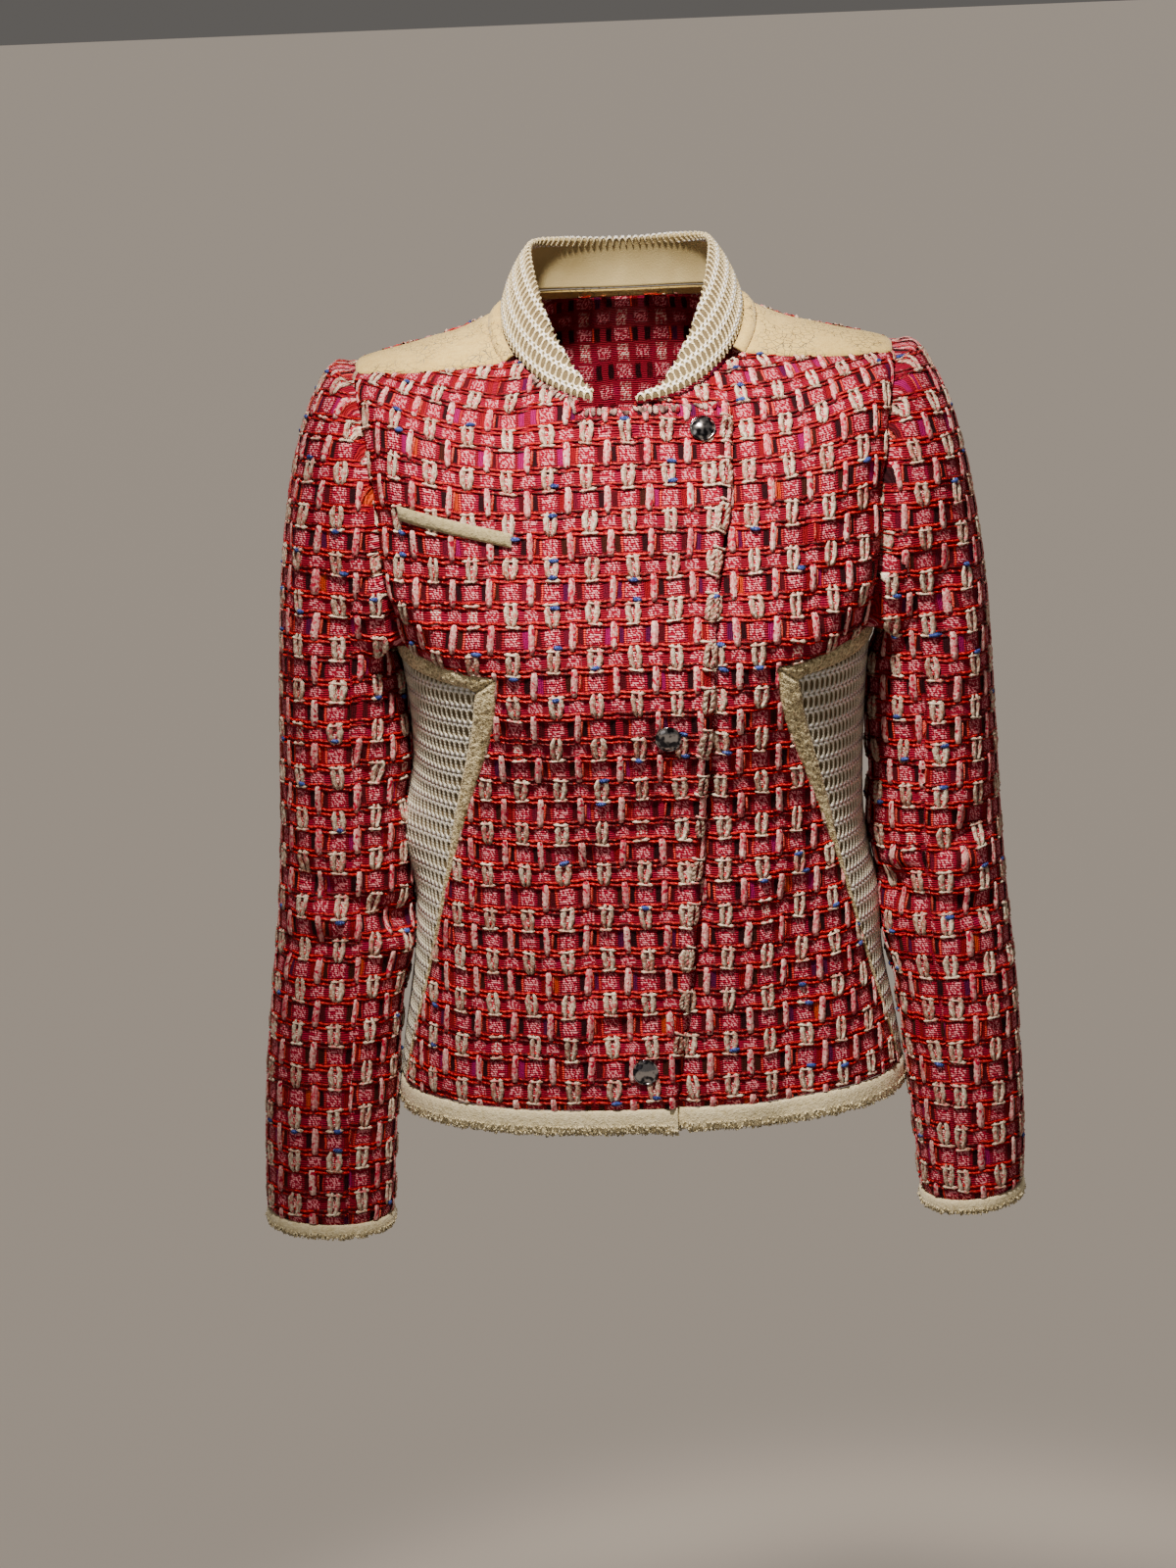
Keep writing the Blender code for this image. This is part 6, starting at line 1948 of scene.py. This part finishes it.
def neck_yarns(rng):
    edge_x = float(closing_x(FLAP_TOP_Z))
    spots = [place(x, FLAP_TOP_Z) for x in np.linspace(edge_x - 0.002, FLAP_START_X, 24)]
    spots += [(a, STRIP_FREE_V) for a in np.linspace(spots[-1][0] - 0.03, -YOKE_INNER * 0.8, 12)]
    line = flat_line(np.array(spots))
    t = np.linspace(-1, 1, 6)
    made = []
    for at in np.arange(0.003, line[1][-1] - 0.004, 0.0037):
        size = rng.uniform(0.8, 1.2)
        path = np.column_stack([0.0031 * t * size + 0.003, 0.0006 * np.sin(2 * t), 0.0011 - 0.001 * t ** 2])
        wide = 0.00165 * size * (1 - 0.35 * t ** 4)
        made.append(strand(set_on(line, float(at), path, rng.normal(0.35, 0.35)), wide, wide * 0.6, 5))
    return made


MIXED = yarn_finish("mixed_edge_yarns", (60, 0, 18), (240, 204, 190), (150, 6, 40), grain=150.0)
edge_rng = np.random.default_rng(11)
edge_sources = [yarn_object("loops_source", closing_loops(edge_rng)),
                yarn_object("neck_source", neck_yarns(edge_rng))]
edge_yarns = joined("yarns_flap_edges", [
    lay(source.name + "_laid", HOSTS["cloth_front_right"][0], source, finish, (0.0, 0.0), (1, 1),
        Shift=0.0, Lean=0.0, Size_change=0.0, Sway=0.0, Seed=400)
    for source, finish in zip(edge_sources, (CREAM, MIXED))])
SPARE += edge_sources
print("edge yarns triangles:", triangles(edge_yarns))

# %% [markdown]
# ## Snaps
#
# Each cap is a thin domed disc of dark chrome with a rolled rim. It is turned round the cloth's own normal,
# at the same place as its solid, and the yarns under it are pressed down.

# %% Yarns pressed under a cap
CAP_REACH = 0.005                # how far outside its rim a cap still presses


def press_under(pieces, foot, normal):
    """Yarns dive under a cap's rim and come up again outside it."""
    for piece in pieces:
        places = np.empty(len(piece.data.vertices) * 3)
        piece.data.vertices.foreach_get("co", places)
        places = places.reshape(-1, 3)
        rise = (places - foot) @ normal
        away = norm(places - foot - rise[:, None] * normal, axis=1)
        limit = 0.9 * (away - SNAP_RADIUS).clip(0) - 0.0003
        near = (away < SNAP_RADIUS + CAP_REACH) & (np.abs(rise) < 0.02) & (rise > limit)
        places[near] += (limit - rise)[near, None] * normal
        piece.data.vertices.foreach_set("co", places.ravel())
        piece.data.update()
        print(piece.name, "points pressed down:", int(near.sum()))

# %% Domed caps, turned from a section of radius and height as shares of the cap's own
CAP_SECTION = ((0.84, 0.02), (0.95, 0.04), (1.0, 0.16), (0.995, 0.34), (0.97, 0.46), (0.93, 0.5), (0.9, 0.44),
               (0.87, 0.34), (0.84, 0.4), (0.76, 0.54), (0.64, 0.68), (0.5, 0.8), (0.34, 0.9), (0.16, 0.98))
CAP_SIDES = 64


def snap_cap(name, x, z):
    theta, v = place(x, z)
    normal = slope_normal(lambda a, b: body(a, b)[0], np.array([theta]), np.array([v]))[0]
    middle = np.array(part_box("snap_" + name)).mean(axis=0)
    base = middle - normal * SNAP_RISE / 2
    press_under((yarns[front_right.name], edge_yarns), base, normal)
    side = unit(np.cross(normal, np.array([0.0, 0.0, 1.0])))
    up = np.cross(side, normal)
    turn = np.arange(CAP_SIDES) / CAP_SIDES * 2 * pi
    spoke = np.cos(turn)[:, None] * side + np.sin(turn)[:, None] * up
    verts = np.vstack([base + SNAP_RADIUS * share * spoke + normal * SNAP_RISE * rise
                       for share, rise in CAP_SECTION]
                      + [base + normal * SNAP_RISE * rise for rise in (1, 0.02)])
    faces, last = [], (len(CAP_SECTION) - 1) * CAP_SIDES
    for k in range(CAP_SIDES):
        n = (k + 1) % CAP_SIDES
        faces += [(r * CAP_SIDES + k, r * CAP_SIDES + n, (r + 1) * CAP_SIDES + n, (r + 1) * CAP_SIDES + k)
                  for r in range(len(CAP_SECTION) - 1)]
        faces += [(last + k, last + n, len(verts) - 2), (n, k, len(verts) - 1)]
    piece = put_mesh("snap_cap_" + name, verts, faces)
    shape = bmesh.new()
    shape.from_mesh(piece.data)
    bmesh.ops.recalc_face_normals(shape, faces=shape.faces)
    shape.to_mesh(piece.data)
    shape.free()
    piece.data.shade_smooth()
    print(name, "cap off its solid by", round(float(norm(verts.mean(axis=0) - middle)) * 1000, 2), "mm")
    return piece


def chrome_with_painted_reflections():
    f = Finish("dark_chrome", Metallic=1.0, Specular_IOR_Level=0.5)
    spot = f.spot()
    # Painted reflections: dark and light patches stand in for a room mirrored in the chrome.
    colour = f.mix(f.spread(spot, 240.0, 1.0).fade(0.42, 0.6), (62, 60, 66), (196, 192, 192))
    return f.end(colour, f.spread(spot, 400.0) * 0.1 + 0.1)


caps = {name: snap_cap(name, x, z) for name, x, z in SNAPS}
paint(chrome_with_painted_reflections(), *caps.values())

# %% [markdown]
# ## Hand the pieces to the frame
#
# Each shell takes the place of its wall and rides on the same body. The flat size it was cut to,
# which its own chart gives, is worked out and printed.

# %% Names, rides and cloth sizes
for source in [host for host, _, _ in HOSTS.values()] + [source for source, _ in YARNS.values()] + SPARE:
    bpy.data.objects.remove(source)
THINNEST = 0.0105                # the narrowest cut size that is given


def take_place(piece, node, extras=()):
    """Put a piece in the place of its solid, on the same body, with what lies on it."""
    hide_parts(node)
    for thing in (piece, *extras):
        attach(thing, "root")


def hand_over(piece, node, extras=(), cut=None):
    """A cloth piece; cut is (area, width, length) or comes from its chart."""
    take_place(piece, node, extras)
    area, width, length = (float(x) for x in (cut or flat_area(piece)))
    if area < 0.4 * width * length:      # a strip that lies aslant in the chart
        length = hypot(width, length)
        width = area / length
    width, length = max(width, THINNEST), max(length, THINNEST)
    if area < 0.32 * width * length:
        length = max(length, area / 0.9 / width)
        width = max(THINNEST, min(width, area / 0.9 / length))
    print(f"{node}: {width:.3f} x {length:.3f} m, area {area:.4f}")


def hand_over_binding(node, binding):
    made, torn, run, girth = binding
    hand_over(made, node, [torn], (run * girth, run, girth))


hand_over(front_right, "front_right", [yarns[front_right.name], edge_yarns])
hand_over(front_left, "front_left", [yarns[front_left.name]])
hand_over(back, "back", [yarns[back.name]])
for side, _ in SIDES:
    for part in ("upper", "under"):
        piece = sleeves[side][part]
        hand_over(piece, f"sleeve_{part}_{side}", [yarns[piece.name]])
    hand_over(yokes[side], "yoke_" + side)
    hand_over(sides[side]["mesh"], "side_mesh_" + side, [nets[side]])
    hand_over(sides[side]["top"], "side_band_top_" + side)
    hand_over(sides[side]["front"], "side_band_front_" + side)
    hand_over_binding("cuff_" + side, cuffs[side])
for part, binding in hems.items():
    hand_over_binding("hem_" + part, binding)
hand_over(welt, "welt")
for name, cap in caps.items():
    take_place(cap, "snap_" + name)
hand_over(neck_strip, "neck_strip")
hand_over(collar, "collar", [nets["collar"]])
